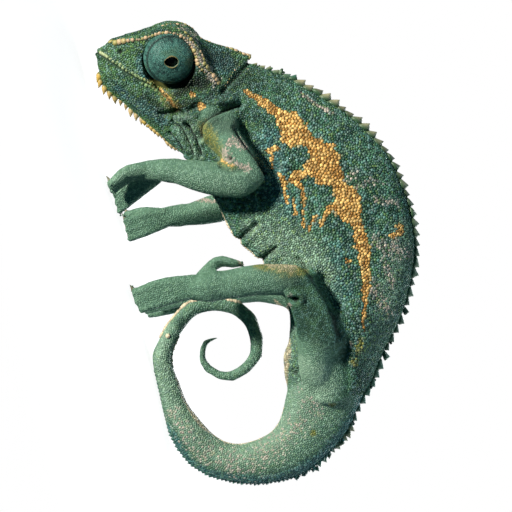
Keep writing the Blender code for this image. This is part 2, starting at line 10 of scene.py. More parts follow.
import logging
import math
from collections.abc import Callable, Sequence
from dataclasses import dataclass, field
from enum import Enum
from itertools import count

import bmesh
import bpy
import numpy as np
from mathutils import Matrix, Vector, noise
from mathutils.bvhtree import BVHTree


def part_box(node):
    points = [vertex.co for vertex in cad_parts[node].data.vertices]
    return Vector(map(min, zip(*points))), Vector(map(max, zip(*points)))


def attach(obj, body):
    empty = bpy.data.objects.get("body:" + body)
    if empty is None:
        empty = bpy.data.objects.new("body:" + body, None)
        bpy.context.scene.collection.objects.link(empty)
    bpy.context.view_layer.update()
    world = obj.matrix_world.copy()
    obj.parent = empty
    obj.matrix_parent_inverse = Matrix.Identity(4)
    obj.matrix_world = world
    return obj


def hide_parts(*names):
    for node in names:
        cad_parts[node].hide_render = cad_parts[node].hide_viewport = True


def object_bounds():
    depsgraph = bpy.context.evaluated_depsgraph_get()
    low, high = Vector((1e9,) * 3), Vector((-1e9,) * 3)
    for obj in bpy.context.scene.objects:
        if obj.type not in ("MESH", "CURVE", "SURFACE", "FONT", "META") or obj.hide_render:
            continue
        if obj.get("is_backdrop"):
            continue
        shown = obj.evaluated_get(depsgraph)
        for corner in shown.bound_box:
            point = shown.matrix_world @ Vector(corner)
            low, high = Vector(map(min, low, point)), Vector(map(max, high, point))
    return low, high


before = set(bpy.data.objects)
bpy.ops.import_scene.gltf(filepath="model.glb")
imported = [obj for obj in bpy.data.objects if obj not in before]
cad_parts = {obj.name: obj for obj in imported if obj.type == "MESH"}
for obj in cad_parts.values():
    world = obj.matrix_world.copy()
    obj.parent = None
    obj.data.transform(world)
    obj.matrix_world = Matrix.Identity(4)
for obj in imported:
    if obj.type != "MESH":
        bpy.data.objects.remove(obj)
CAD_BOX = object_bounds()

MM = 0.001
LOG = logging.getLogger("chameleon")

Array = np.ndarray
Colour = tuple[float, float, float]
Pair = tuple[float, float]
Place = tuple[float, ...]
Material = bpy.types.Material
Mesh = bpy.types.Mesh
Piece = bpy.types.Object
Shape = bmesh.types.BMesh
Socket = bpy.types.NodeSocket
Sockets = bpy.types.bpy_prop_collection
VECTOR = "FLOAT_VECTOR"  # the type of an attribute with three numbers


class Side(Enum):
    """The animal's two sides, each with the sign of its y."""

    LEFT = -1
    RIGHT = 1


class Tone(Enum):
    """The markings and the painted shade, each a number from 0 to 1 on the skin and on every scale.
    """

    SAGE = "sage"  # pale grey-green of the limbs, lower flank and tail
    MINT = "mint"  # palest green of the hip, the tail's inner side and the forearm
    TEAL = "teal"  # blue-green of the shoulder, casque and crest
    OLIVE = "olive"  # yellow-green streaks and elbow
    BLUSH = "blush"  # dusty pink-grey patches
    GOLD = "gold"  # orange-yellow side stripe and streaks
    CREAM = "cream"  # belly line, vent and inner edge of the tail
    GLOOM = "gloom"  # painted shade in pits, creases and shaded places


class Coat(Enum):
    """The stretches of skin that the scales are sorted by."""

    HEAD = "head"
    NECK = "neck"
    TRUNK = "trunk"
    TAIL_BASE = "tail_base"
    TAIL = "tail"
    ARMS = "arms"
    LEGS = "legs"


@dataclass(frozen=True)
class Flesh:
    """How the skin treats the flesh of one solid.

    soften is how far its facets are smoothed away and pitch the least space between scales.
    """

    coat: Coat
    soften: float
    pitch: float
    sage: float
    teal: float


HEAD = Flesh(Coat.HEAD, 0.36, 0.265, 0.06, 0.22)
ARM = Flesh(Coat.ARMS, 0.9, 0.22, 0.8, 0.15)
TAIL = Flesh(Coat.TAIL, 1.1, 0.265, 1.0, 0.15)
FLESH = {
    "head": HEAD,
    "lower_jaw": HEAD,
    "neck": Flesh(Coat.NECK, 0.8, 0.24, 0.15, 0.35),
    "trunk": Flesh(Coat.TRUNK, 1.6, 0.33, 0.05, 0.42),
    "tail_base": Flesh(Coat.TAIL_BASE, 1.4, 0.295, 0.85, 0.25),
    "tail_middle": TAIL,
    "tail_curl": TAIL,
    "tail_coil": Flesh(Coat.TAIL, 0.75, 0.24, 0.95, 0.15),
    "tail_tip": Flesh(Coat.TAIL, 0.45, 0.22, 0.85, 0.2),
}
LIMBS = {
    "upper_arm": ARM,
    "forearm": ARM,
    "hand": Flesh(Coat.ARMS, 0.3, 0.22, 0.8, 0.1),
    "thigh": Flesh(Coat.LEGS, 1.5, 0.24, 0.15, 0.3),
    "shin": Flesh(Coat.LEGS, 0.9, 0.22, 0.8, 0.15),
    "foot": Flesh(Coat.LEGS, 0.3, 0.22, 0.75, 0.1),
}
for side_name in ("left_", "right_"):
    FLESH |= {side_name + limb: flesh for limb, flesh in LIMBS.items()}

# Least spaces between scales, from the finest to the coarsest. Each stretch of skin takes
# the nearest one.
PITCHES = (0.22, 0.24, 0.265, 0.295, 0.33, 0.39)


# ------------ arrays and paths


def read(items: Sockets, name: str, width: int, kind: type = float) -> Array:
    """One property of a mesh's items as an array.

    Args:
        items: the vertices, edges, or an attribute's data.
        name: the property.
        width: how many numbers each item has.
        kind: the numbers' type.

    Returns:
        One row for each item.
    """
    values = np.empty(len(items) * width, np.float32 if kind is float else np.int32)
    items.foreach_get(name, values)
    return values.astype(kind).reshape(-1, width)


def smooth_path(numbers: Place, width: int, steps: int = 6) -> Array:
    """A Catmull-Rom curve through a few points.

    Args:
        numbers: the points' coordinates, one point after the other.
        width: how many coordinates a point has.
        steps: lengths of curve from one point to the next.

    Returns:
        The curve's points as rows.
    """
    rows = np.reshape(np.asarray(numbers, float), (-1, width))
    if len(rows) < 2:
        return rows
    ends = np.vstack([2 * rows[0] - rows[1], rows, 2 * rows[-1] - rows[-2]])
    places = np.linspace(0, len(rows) - 1, (len(rows) - 1) * steps + 1)
    start = np.minimum(places.astype(int), len(rows) - 2)
    t = (places - start)[:, None]
    a, b, c, d = (ends[start + k] for k in range(4))
    bend = (2 * a - 5 * b + 4 * c - d) * t**2 + (3 * b - 3 * c + d - a) * t**3
    return 0.5 * (2 * b + (c - a) * t + bend)


def distance_along(places: Array, path: Array) -> tuple[Array, Array]:
    """How far each place is from a path, and where on the path it is nearest.

    Args:
        places: the places as rows.
        path: the path's points as rows.

    Returns:
        The distances, and the nearest points' positions counted in the path's points.
    """
    if len(path) == 1:
        return np.linalg.norm(places - path[0], axis=1), np.zeros(len(places))
    best = np.full(len(places), np.inf)
    where = np.zeros(len(places))
    for k, (a, b) in enumerate(zip(path, path[1:])):
        step = b - a
        t = np.clip((places - a) @ step / (step @ step), 0, 1)
        gap = np.linalg.norm(places - a - t[:, None] * step, axis=1)
        nearer = gap < best
        best[nearer] = gap[nearer]
        where[nearer] = k + t[nearer]
    return best, where


def ramp(values: Array, low: float, high: float) -> Array:
    """A smooth step from 0 at low to 1 at high."""
    t = np.clip((values - low) / (high - low), 0, 1)
    return t * t * (3 - 2 * t)


def bell(distance: Array | float, reach: float) -> Array | float:
    """1 at no distance, falling smoothly to about a third at the reach."""
    return np.exp(-((distance / reach) ** 2))


def rough(points: Array, size: float, seed: float = 0.0) -> Array:
    """Smooth noise about -1 to 1 with lumps of a given size, at points in millimetres."""
    shift = Vector((seed, 1.7 * seed, -seed))
    return np.array([noise.noise(Vector(p) / size + shift) for p in points.tolist()])


def middle_of(node: str) -> Vector:
    """The middle of a solid's box, in metres."""
    low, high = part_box(node)
    return (low + high) / 2


class HeadAxes:
    """The head's own frame, in millimetres: to the snout, to the left and to the crown."""

    PITCH = math.radians(13.0)  # the snout points this far forward of straight down
    ROLL = math.radians(11.0)  # the crown tips this far towards the animal's left
    EYES_BEHIND = (0.33, 0.0, 0.08)  # from the middle between the eyeballs to the origin

    def __init__(self) -> None:
        """Finds the frame from the eyeballs."""
        forward = Vector((-math.sin(self.PITCH), 0.0, -math.cos(self.PITCH)))
        crown = Vector((-math.cos(self.PITCH), 0.0, math.sin(self.PITCH)))
        turned = Matrix((forward, Vector((0.0, -1.0, 0.0)), crown)).transposed()
        self.turn = turned @ Matrix.Rotation(-self.ROLL, 3, "X")
        eyes = [middle_of(side.name.lower() + "_eyeball") for side in Side]
        between = (eyes[0] + eyes[1]) / 2 / MM
        self.origin = between + self.turn @ Vector(self.EYES_BEHIND)

    def to_model(self, point: Place) -> Vector:
        """A point of the head's frame in the model's frame, in millimetres."""
        return self.origin + self.turn @ Vector(point)

    def from_model(self, points: Array) -> Array:
        """Points of the model's frame in the head's frame."""
        return (points - np.array(self.origin)) @ np.array(self.turn)


# ------------ shapes and meshes


def shaped(*meshes: Mesh) -> Shape:
    """A shape to work on, joined from meshes.

    Args:
        meshes: the meshes, which stay as they are.

    Returns:
        The shape.
    """
    shape = bmesh.new()
    for mesh in meshes:
        shape.from_mesh(mesh)
    return shape


def settled(shape: Shape, name: str) -> Mesh:
    """The mesh of a finished shape.

    Args:
        shape: the shape, which is freed.
        name: the mesh's name.

    Returns:
        The mesh.
    """
    mesh = bpy.data.meshes.new(name)
    shape.to_mesh(mesh)
    shape.free()
    return mesh


def surface_of(mesh: Mesh) -> BVHTree:
    """A mesh's faces, for finding places on them.

    Args:
        mesh: the mesh.

    Returns:
        The faces' search tree.
    """
    shape = shaped(mesh)
    surface = BVHTree.FromBMesh(shape)
    shape.free()
    return surface


def note(
    mesh: Mesh, name: str, values: Array, kind: str = "FLOAT", domain: str = "POINT"
) -> None:
    """Stores numbers on a mesh as a named attribute.

    Args:
        mesh: the mesh.
        name: the attribute's name.
        values: one number or row for each item.
        kind: the attribute's type.
        domain: the items that carry it.
    """
    layer = mesh.attributes.new(name, kind, domain)
    numbers = np.asarray(values, np.int32 if kind == "INT" else np.float32)
    layer.data.foreach_set("vector" if kind == VECTOR else "value", numbers.ravel())


def stand(name: str, data: bpy.types.ID) -> Piece:
    """A new object in the scene."""
    made = bpy.data.objects.new(name, data)
    bpy.context.scene.collection.objects.link(made)
    return made


def modified(mesh: Mesh, kind: str, inputs: dict | None = None, **settings: object) -> Mesh:
    """The plain mesh that one modifier makes of a mesh.

    Args:
        mesh: the mesh, which stays as it is.
        kind: the modifier's type.
        inputs: the values of a node tree's inputs, by their sockets' identifiers.
        settings: the modifier's own properties.

    Returns:
        The new mesh.
    """
    holder = stand("holder", mesh)
    modifier = holder.modifiers.new("change", kind)
    for name, value in settings.items():
        setattr(modifier, name, value)
    for identifier, value in (inputs or {}).items():
        modifier[identifier] = value
    graph = bpy.context.evaluated_depsgraph_get()
    changed = holder.evaluated_get(graph)
    made = bpy.data.meshes.new_from_object(changed, preserve_all_data_layers=True, depsgraph=graph)
    bpy.data.objects.remove(holder)
    return made


def thinned(mesh: Mesh, most: int) -> Mesh:
    """A copy of a mesh with at most so many triangles."""
    mesh.calc_loop_triangles()
    return modified(mesh, "DECIMATE", ratio=min(1.0, most / len(mesh.loop_triangles)))


def unwrap(mesh: Mesh) -> None:
    """Lays a mesh's own shape out flat as the map OFBake, on which its scales also get their
    places.

    Args:
        mesh: the mesh, which gets the map OFBake.
    """
    holder = stand("unwrap", mesh)
    bpy.context.view_layer.objects.active = holder
    holder.select_set(True)
    mesh.uv_layers.new(name="OFBake")
    bpy.ops.object.mode_set(mode="EDIT")
    bpy.ops.mesh.select_all(action="SELECT")
    bpy.ops.uv.smart_project(angle_limit=math.radians(72), island_margin=0.004)
    bpy.ops.object.mode_set(mode="OBJECT")
    bpy.data.objects.remove(holder)


def skinned(rings: Sequence[Sequence[Place]], loop: bool = False) -> Shape:
    """A closed shape over rings of places.

    Args:
        rings: each ring's places in order; a ring of one place is a pole.
        loop: whether the last ring joins the first; without that, open ends are capped.

    Returns:
        The shape, its normals outwards.
    """
    shape = bmesh.new()
    verts = [[shape.verts.new(place) for place in ring] for ring in rings]
    around = max(map(len, verts))
    for first, second in zip(verts, verts[1:] + verts[:1] if loop else verts[1:]):
        for k in range(around):
            m = (k + 1) % around
            corners = (first[k % len(first)], first[m % len(first)])
            corners += (second[m % len(second)], second[k % len(second)])
            shape.faces.new(dict.fromkeys(corners))
    for end in () if loop else (verts[0], verts[-1]):
        if len(end) > 1:
            shape.faces.new(end)
    bmesh.ops.recalc_face_normals(shape, faces=shape.faces)
    for face in shape.faces:
        face.smooth = True
    return shape


def turns(steps: int) -> list[float]:
    """Even angles once round."""
    return [2 * math.pi * k / steps for k in range(steps)]


def revolve(profile: Sequence[Callable[[float], Place]], around: int) -> Shape:
    """A closed shape from rings about +Z, with a pole at each end.

    Args:
        profile: for each ring, a function from its angle to its radius and height.
        around: points round a ring.

    Returns:
        The shape, its normals outwards.
    """
    rings = []
    for place in profile:
        spots = [(angle, *place(angle)) for angle in turns(around)]
        rings.append([(r * math.cos(a), r * math.sin(a), height) for a, r, height in spots])
    for end in (0, -1):
        rings[end] = [(0.0, 0.0, rings[end][0][2])]
    return skinned(rings)


# ------------ node trees


def pick(sockets: Sockets, key: str | int) -> Socket:
    """A usable socket by its name or by its place among the usable ones."""
    usable = [socket for socket in sockets if socket.enabled]
    return usable[key] if isinstance(key, int) else next(s for s in usable if s.name == key)


class Graph:
    """Adds nodes to a tree, with their settings and inputs given by name."""

    def __init__(self, tree: bpy.types.NodeTree) -> None:
        """Starts on a tree."""
        self.tree = tree

    def node(self, kind: str, inputs: dict | None = None, **settings: object) -> bpy.types.Node:
        """A new node.

        Args:
            kind: the node's type name.
            inputs: a value, or a socket to link from, for each input's name or place.
            settings: the node's own properties.

        Returns:
            The node.
        """
        made = self.tree.nodes.new(kind)
        for name, value in settings.items():
            setattr(made, name, value)
        for key, value in (inputs or {}).items():
            socket = pick(made.inputs, key)
            if isinstance(value, Socket):
                self.tree.links.new(value, socket)
            else:
                socket.default_value = value
        return made

    def out(
        self, kind: str, inputs: dict | None = None, key: str | int = 0, **settings: object
    ) -> Socket:
        """The output socket of a new node, by its name or place."""
        return pick(self.node(kind, inputs, **settings).outputs, key)

    def math(self, operation: str, *values: object) -> Socket:
        """A number worked out from one to three others."""
        return self.out("ShaderNodeMath", dict(enumerate(values)), operation=operation)

    def times(self, first: object, second: object) -> Socket:
        """A number times another."""
        return self.math("MULTIPLY", first, second)

    def scaled(self, vector: Socket, size: object) -> Socket:
        """A vector times a number."""
        inputs = {0: vector, "Scale": size}
        return self.out("ShaderNodeVectorMath", inputs, operation="SCALE")

    def vector(self, operation: str, *values: object, key: str | int = 0) -> Socket:
        """A vector, or with the key Value a number, worked out from other vectors."""
        return self.out("ShaderNodeVectorMath", dict(enumerate(values)), key, operation=operation)

    def smooth(
        self, value: object, low: float, high: float, start: float = 0.0, end: float = 1.0
    ) -> Socket:
        """A smooth step of a number from start at low to end at high."""
        inputs = {"Value": value, "From Min": low, "From Max": high, "To Min": start, "To Max": end}
        return self.out("ShaderNodeMapRange", inputs, interpolation_type="SMOOTHSTEP")

    def mix(self, share: object, first: object, second: object) -> Socket:
        """Two colours mixed; share 0 gives the first."""
        sides = [(*c, 1.0) if isinstance(c, tuple) else c for c in (first, second)]
        inputs = {"Factor": share, "A": sides[0], "B": sides[1]}
        return self.out("ShaderNodeMix", inputs, "Result", data_type="RGBA")

    def point(self, **axes: object) -> Socket:
        """A vector put together from its X, Y and Z."""
        return self.out("ShaderNodeCombineXYZ", axes)

    def axes(self, vector: Socket) -> Sockets:
        """A vector's X, Y and Z."""
        return self.node("ShaderNodeSeparateXYZ", {0: vector}).outputs

    def place(self) -> Socket:
        """Each point's own place in a geometry tree."""
        return self.out("GeometryNodeInputPosition")

    def stored(self, name: str, kind: str = "FLOAT") -> Socket:
        """A named attribute in a geometry tree."""
        inputs = {"Name": name}
        return self.out("GeometryNodeInputNamedAttribute", inputs, "Attribute", data_type=kind)

    def store(
        self, geometry: object, name: str, value: object, kind: str = "FLOAT", domain: str = "POINT"
    ) -> Socket:
        """Geometry with a value stored under a name."""
        inputs = {"Geometry": geometry, "Name": name, "Value": value}
        return self.out("GeometryNodeStoreNamedAttribute", inputs, data_type=kind, domain=domain)

    def near_surface(self, surface: object, value: object) -> Socket:
        """A vector of a surface at its point nearest to each place."""
        inputs = {"Mesh": surface, "Value": value}
        return self.out("GeometryNodeSampleNearestSurface", inputs, data_type=VECTOR)

    def moved(self, geometry: object, **change: object) -> Socket:
        """Geometry whose points have a new Position, or are shifted by an Offset."""
        return self.out("GeometryNodeSetPosition", {"Geometry": geometry, **change})


class GrowthTree:
    """A Geometry Nodes tree with named inputs, and the way to grow a mesh with it."""

    SOCKETS = {
        float: "NodeSocketFloat",
        int: "NodeSocketInt",
        Material: "NodeSocketMaterial",
        Piece: "NodeSocketObject",
        Vector: "NodeSocketVector",
    }

    def __init__(self, name: str, inputs: dict[str, object]) -> None:
        """Makes the tree and its interface.

        Args:
            name: the tree's name.
            inputs: each input's default, or its type.
        """
        self.tree = bpy.data.node_groups.new(name, "GeometryNodeTree")
        face = self.tree.interface
        face.new_socket("Geometry", in_out="INPUT", socket_type="NodeSocketGeometry")
        for label, default in inputs.items():
            kind = default if isinstance(default, type) else type(default)
            made = face.new_socket(label, in_out="INPUT", socket_type=self.SOCKETS[kind])
            if not isinstance(default, type):
                made.default_value = default
        face.new_socket("Geometry", in_out="OUTPUT", socket_type="NodeSocketGeometry")
        graph = Graph(self.tree)
        grown = self.build(graph, graph.node("NodeGroupInput").outputs)
        graph.node("NodeGroupOutput", {"Geometry": grown})

    def build(self, g: Graph, entry: Sockets) -> Socket:
        """Adds the tree's nodes and gives the geometry it ends in. Each kind has its own."""
        raise NotImplementedError

    def grow(self, name: str, source: Mesh, **inputs: object) -> Mesh:
        """The plain mesh that the tree makes of a source mesh.

        Args:
            name: the new mesh's name.
            source: the mesh that the tree starts from.
            inputs: the tree's inputs, with underscores for spaces in their names.

        Returns:
            The mesh.
        """
        items = [item for item in self.tree.interface.items_tree if item.in_out == "INPUT"]
        keys = {item.name.replace(" ", "_"): item.identifier for item in items}
        values = {keys[label]: value for label, value in inputs.items()}
        mesh = modified(source, "NODES", values, node_group=self.tree)
        mesh.name = name
        return mesh

    def planted(self, g: Graph, skin: Socket, points: Socket, lean: Socket | None = None) -> Socket:
        """Points as loose roots that know which way they face and their place on the map.

        Args:
            g: the tree's graph.
            skin: the surface that they stand on.
            points: the points.
            lean: what is added to the skin's normal, if anything.

        Returns:
            The roots.
        """
        facing = g.near_surface(skin, g.out("GeometryNodeInputNormal"))
        if lean is not None:
            facing = g.vector("NORMALIZE", g.vector("ADD", facing, lean))
        points = g.store(points, "facing", facing, VECTOR)
        points = g.store(points, "root", g.near_surface(skin, g.stored("OFBake", VECTOR)), VECTOR)
        return g.out("GeometryNodePointsToVertices", {"Points": points})


class RootTree(GrowthTree):
    """Scatters scale roots over a skin, closer where its band is finer, and evens them out."""

    def __init__(self) -> None:
        """Makes the tree with its seed and one pitch for each band."""
        pitches = {f"Pitch {k}": pitch * MM for k, pitch in enumerate(PITCHES)}
        inputs = {"Seed": 7, "Evening steps": 10, "Spread": 1.22, "Crowd": 5.0, **pitches}
        super().__init__("Scale roots", inputs)

    def build(self, g: Graph, entry: Sockets) -> Socket:
        """Poisson points for each band, evened by pushing each one off its nearest neighbour.

        Args:
            g: the tree's graph.
            entry: the tree's inputs.

        Returns:
            The roots.
        """
        skin = entry["Geometry"]
        scattered = g.node("GeometryNodeJoinGeometry")
        for k in range(len(PITCHES)):
            pitch = entry[f"Pitch {k}"]
            inputs = {0: g.stored("band", "INT"), 1: k}
            in_band = g.out("FunctionNodeCompare", inputs, data_type="INT", operation="EQUAL")
            crowd = g.math("DIVIDE", entry["Crowd"], g.times(pitch, pitch))
            inputs = {"Mesh": skin, "Selection": in_band, "Distance Min": pitch}
            inputs |= {"Density Max": crowd, "Seed": entry["Seed"]}
            scatter = "GeometryNodeDistributePointsOnFaces"
            points = g.out(scatter, inputs, distribute_method="POISSON")
            g.tree.links.new(points, scattered.inputs[0])

        start = g.node("GeometryNodeRepeatInput")
        end = g.node("GeometryNodeRepeatOutput")
        start.pair_with_output(end)
        g.tree.links.new(entry["Evening steps"], start.inputs["Iterations"])
        g.tree.links.new(scattered.outputs[0], start.inputs["Geometry"])
        points = start.outputs["Geometry"]
        gap = g.vector("SUBTRACT", g.place(), self.neighbour(g, points))
        wanted = g.times(g.stored("pitch"), entry["Spread"])
        short = g.math("SUBTRACT", wanted, g.vector("LENGTH", gap, key="Value"))
        push = g.times(g.math("MAXIMUM", short, 0.0), 0.5)
        moved = g.moved(points, Offset=g.scaled(g.vector("NORMALIZE", gap), push))
        landed = g.moved(moved, Position=g.near_surface(skin, g.place()))
        g.tree.links.new(landed, end.inputs["Geometry"])

        roots = end.outputs["Geometry"]
        gap = g.vector("DISTANCE", g.place(), self.neighbour(g, roots), key="Value")
        return self.planted(g, skin, g.store(roots, "room", gap))

    def neighbour(self, g: Graph, points: Socket) -> Socket:
        """The place of each point's nearest neighbour."""
        inputs = {"Geometry": points, "Value": g.place()}
        inputs["Index"] = g.out("GeometryNodeIndexOfNearest")
        return g.out("GeometryNodeSampleIndex", inputs, data_type=VECTOR, domain="POINT")


class RowTree(GrowthTree):
    """Sets roots at even steps along a path, each on the skin and facing away from it."""

    def __init__(self) -> None:
        """Makes the tree with the skin to land on, the step and the lean."""
        inputs = {"Skin": Piece, "Step": 1.0 * MM, "Lean": Vector((0.0, 0.0, 0.0))}
        super().__init__("Row of roots", inputs)

    def build(self, g: Graph, entry: Sockets) -> Socket:
        """Resamples the path and lands its points on the skin.

        Args:
            g: the tree's graph.
            entry: the tree's inputs.

        Returns:
            The roots.
        """
        skin = g.out("GeometryNodeObjectInfo", {"Object": entry["Skin"]}, "Geometry")
        curve = g.out("GeometryNodeMeshToCurve", {"Mesh": entry["Geometry"]})
        inputs = {"Curve": curve, "Length": entry["Step"]}
        curve = g.out("GeometryNodeResampleCurve", inputs, mode="LENGTH")
        curve = g.store(curve, "share", g.out("GeometryNodeSplineParameter", key="Factor"))
        curve = g.store(curve, "along", g.out("GeometryNodeInputTangent"), VECTOR)
        points = g.out("GeometryNodeCurveToPoints", {"Curve": curve}, mode="EVALUATED")
        points = g.moved(points, Position=g.near_surface(skin, g.place()))
        return self.planted(g, skin, points, entry["Lean"])


class StandingTree(GrowthTree):
    """Stands one small closed shape on every root. Each kind of shape has its own tree."""

    COMMON = {
        "First size": 1.0 * MM,
        "Last size": 1.0 * MM,
        "Height": 0.5,
        "Uneven": 0.15,
        "Sink": 0.1,
        "Patch": 0.003,
        "Seed": 3,
        "Finish": Material,
    }
    SPENT = ("root", "patch", "facing", "along", "room", "pitch")  # not needed on the result

    def build(self, g: Graph, entry: Sockets) -> Socket:
        """Instances the shape on the roots, turns it to the skin and realizes it.

        Args:
            g: the tree's graph.
            entry: the tree's inputs.

        Returns:
            The standing shapes.
        """
        shape = self.shape(g, entry)
        inputs = {"Seed": entry["Seed"]}
        chance = g.out("FunctionNodeRandomValue", inputs, "Value", data_type="FLOAT")
        roots = g.store(entry["Geometry"], "chance", chance)
        spread = g.smooth(g.stored("chance"), 0.0, 1.0, -1.0, 1.0)
        uneven = g.math("MULTIPLY_ADD", spread, entry["Uneven"], 1.0)
        size = g.times(self.size(g, entry), uneven)
        tall = g.times(size, entry["Height"])
        sunk = g.times(g.times(tall, entry["Sink"]), -1.0)
        roots = g.moved(roots, Offset=g.scaled(g.stored("facing", VECTOR), sunk))
        inputs = {"Points": roots, "Instance": shape, "Rotation": self.turn(g, entry)}
        inputs["Scale"] = g.point(X=size, Y=size, Z=tall)
        made = g.out("GeometryNodeInstanceOnPoints", inputs)
        made = g.out("GeometryNodeRealizeInstances", {"Geometry": made})
        corner = g.scaled(g.stored("patch", VECTOR), entry["Patch"])
        place = g.vector("ADD", g.stored("root", VECTOR), corner)
        made = g.store(made, "OFBake", place, "FLOAT2", "CORNER")
        for name in self.SPENT:
            made = g.out("GeometryNodeRemoveAttribute", {"Geometry": made, "Name": name})
        made = g.out("GeometryNodeSetShadeSmooth", {"Geometry": made})
        return g.out("GeometryNodeSetMaterial", {"Geometry": made, "Material": entry["Finish"]})

    def shape(self, g: Graph, entry: Sockets) -> Socket:
        """The shape to repeat, one unit wide, with its lift and patch stored on it."""
        raise NotImplementedError

    def patched(self, g: Graph, shape: Socket, angle: Socket, reach: Socket) -> Socket:
        """A shape whose corners know their places on its own round patch of the map."""
        x, y = (g.times(g.math(way, angle), reach) for way in ("COSINE", "SINE"))
        return g.store(shape, "patch", g.point(X=x, Y=y), VECTOR, "CORNER")

    def size(self, g: Graph, entry: Sockets) -> Socket:
        """Each shape's width: it runs from the first size to the last along a row."""
        ends = {"To Min": entry["First size"], "To Max": entry["Last size"]}
        return g.out("ShaderNodeMapRange", {"Value": g.stored("share"), **ends})

    def turn(self, g: Graph, entry: Sockets) -> Socket:
        """Each shape's turn: its top away from the skin and its front along the row."""
        inputs = {0: g.stored("facing", VECTOR), 1: g.stored("along", VECTOR)}
        return g.out("FunctionNodeAxesToRotation", inputs, primary_axis="Z", secondary_axis="X")


class DomeTree(StandingTree):
    """Stands a low rounded scale on every root."""

    def __init__(self, name: str = "Domed scales", **own: float) -> None:
        """Makes the tree, with inputs of its own if it needs more."""
        super().__init__(name, {"Sides": 6, **self.COMMON, **own})

    def shape(self, g: Graph, entry: Sockets) -> Socket:
        """A few-sided closed dome, the lower half of which sinks into the skin.

        Args:
            g: the tree's graph.
            entry: the tree's inputs.

        Returns:
            The dome.
        """
        inputs = {"Segments": entry["Sides"], "Rings": 3, "Radius": 0.55}
        ball = g.node("GeometryNodeMeshUVSphere", inputs).outputs
        shape = g.store(ball["Mesh"], "lift", g.smooth(g.axes(g.place())["Z"], -0.3, 0.55))
        around = g.axes(ball["UV Map"])
        angle = g.times(around["X"], 2 * math.pi)
        reach = g.times(g.math("SUBTRACT", 1.0, around["Y"]), 0.5)
        return self.patched(g, shape, angle, reach)


class ScaleTree(DomeTree):
    """Domed scales that fill the room between scattered roots, each spun at random."""

    def __init__(self) -> None:
        """Makes the tree with how full the room gets and the limits of a scale's size."""
        super().__init__("Scattered scales", Fill=1.26, Smallest=0.8, Largest=1.5)

    def size(self, g: Graph, entry: Sockets) -> Socket:
        """The room to the nearest neighbour, within limits set by the pitch."""
        least, most = (g.times(g.stored("pitch"), entry[k]) for k in ("Smallest", "Largest"))
        wanted = g.times(g.stored("room"), entry["Fill"])
        return g.math("MINIMUM", g.math("MAXIMUM", wanted, least), most)

    def turn(self, g: Graph, entry: Sockets) -> Socket:
        """Each scale's top away from the skin, after a random spin."""
        spin = g.point(Z=g.times(g.stored("chance"), 61.0))
        inputs = {"Rotation": g.out("FunctionNodeEulerToRotation", {0: spin})}
        inputs["Vector"] = g.stored("facing", VECTOR)
        return g.out("FunctionNodeAlignRotationToVector", inputs, axis="Z")


class SpineTree(StandingTree):
    """Stands a cone on every root of a row, bent along the row."""

    def __init__(self) -> None:
        """Makes the tree with how far a cone bends, how flat it is and how it swells."""
        own = {"Sides": 8, "Bend": 0.3, "Flatten": 0.8, "Bulge": 0.15}
        super().__init__("Spines", {**own, **self.COMMON})

    def shape(self, g: Graph, entry: Sockets) -> Socket:
        """A closed cone that swells a little and bends towards its tip.

        Args:
            g: the tree's graph.
            entry: the tree's inputs.

        Returns:
            The cone.
        """
        inputs = {"Vertices": entry["Sides"], "Side Segments": 4, "Radius Top": 0.03}
        inputs |= {"Radius Bottom": 0.5, "Depth": 1.0}
        cone = g.out("GeometryNodeMeshCone", inputs, "Mesh", fill_type="NGON")
        axes = g.axes(g.place())
        rise = axes["Z"]
        hump = g.times(rise, g.math("SUBTRACT", 1.0, rise))
        swell = g.math("MULTIPLY_ADD", g.times(hump, 4.0), entry["Bulge"], 1.0)
        lean = g.times(g.times(rise, rise), entry["Bend"])
        side = g.times(g.times(axes["Y"], swell), entry["Flatten"])
        bent = g.point(X=g.math("MULTIPLY_ADD", axes["X"], swell, lean), Y=side, Z=rise)
        angle = g.math("ARCTAN2", axes["Y"], axes["X"])
        reach = g.times(g.math("MULTIPLY_ADD", rise, -0.9, 1.0), 0.45)
        shape = self.patched(g, g.store(cone, "lift", rise), angle, reach)
        return g.moved(shape, Position=bent)


# ------------ finishes


class Surface(Graph):
    """A material's nodes, which end in its one Principled shader."""

    def __init__(self, name: str) -> None:
        """Starts a new material."""
        self.material = bpy.data.materials.new(name)
        self.material.use_nodes = True
        super().__init__(self.material.node_tree)
        self.shader = self.tree.nodes["Principled BSDF"].inputs

    def carried(self, name: str, key: str = "Fac") -> Socket:
        """A number that the mesh carries, or with the key Vector, three."""
        return self.out("ShaderNodeAttribute", key=key, attribute_name=name)

    def grain(self, scale: float, detail: float, place: Socket | None = None) -> Socket:
        """Noise from 0 to 1, on the object's own coordinates unless a place is given.

        Args:
            scale: how fine it is.
            detail: how many finer layers it has.
            place: where it is read.

        Returns:
            The noise.
        """
        if place is None:
            place = self.out("ShaderNodeTexCoord", key="Object")
        inputs = {"Vector": place, "Scale": scale, "Detail": detail}
        return self.out("ShaderNodeTexNoise", inputs, "Fac")

    def emboss(self, height: Socket, strength: float, distance: float) -> None:
        """Gives the surface a fine relief, its depth in metres."""
        inputs = {"Strength": strength, "Distance": distance, "Height": height}
        self.tree.links.new(self.out("ShaderNodeBump", inputs), self.shader["Normal"])

    def finish(self, colour: Socket, **constants: object) -> Material:
        """Ends the material.

        Args:
            colour: its colour.
            constants: the shader's own values, with underscores for spaces in their names.

        Returns:
            The material.
        """
        self.tree.links.new(colour, self.shader["Base Color"])
        for name, value in constants.items():
            self.shader[name.replace("_", " ")].default_value = value
        return self.material


@dataclass(frozen=True)
class Tint:
    """How one marking is coloured: two colours to vary between and how crisp its edge is."""

    tone: Tone
    first: Colour
    second: Colour
    low: float
    high: float
    ragged: float


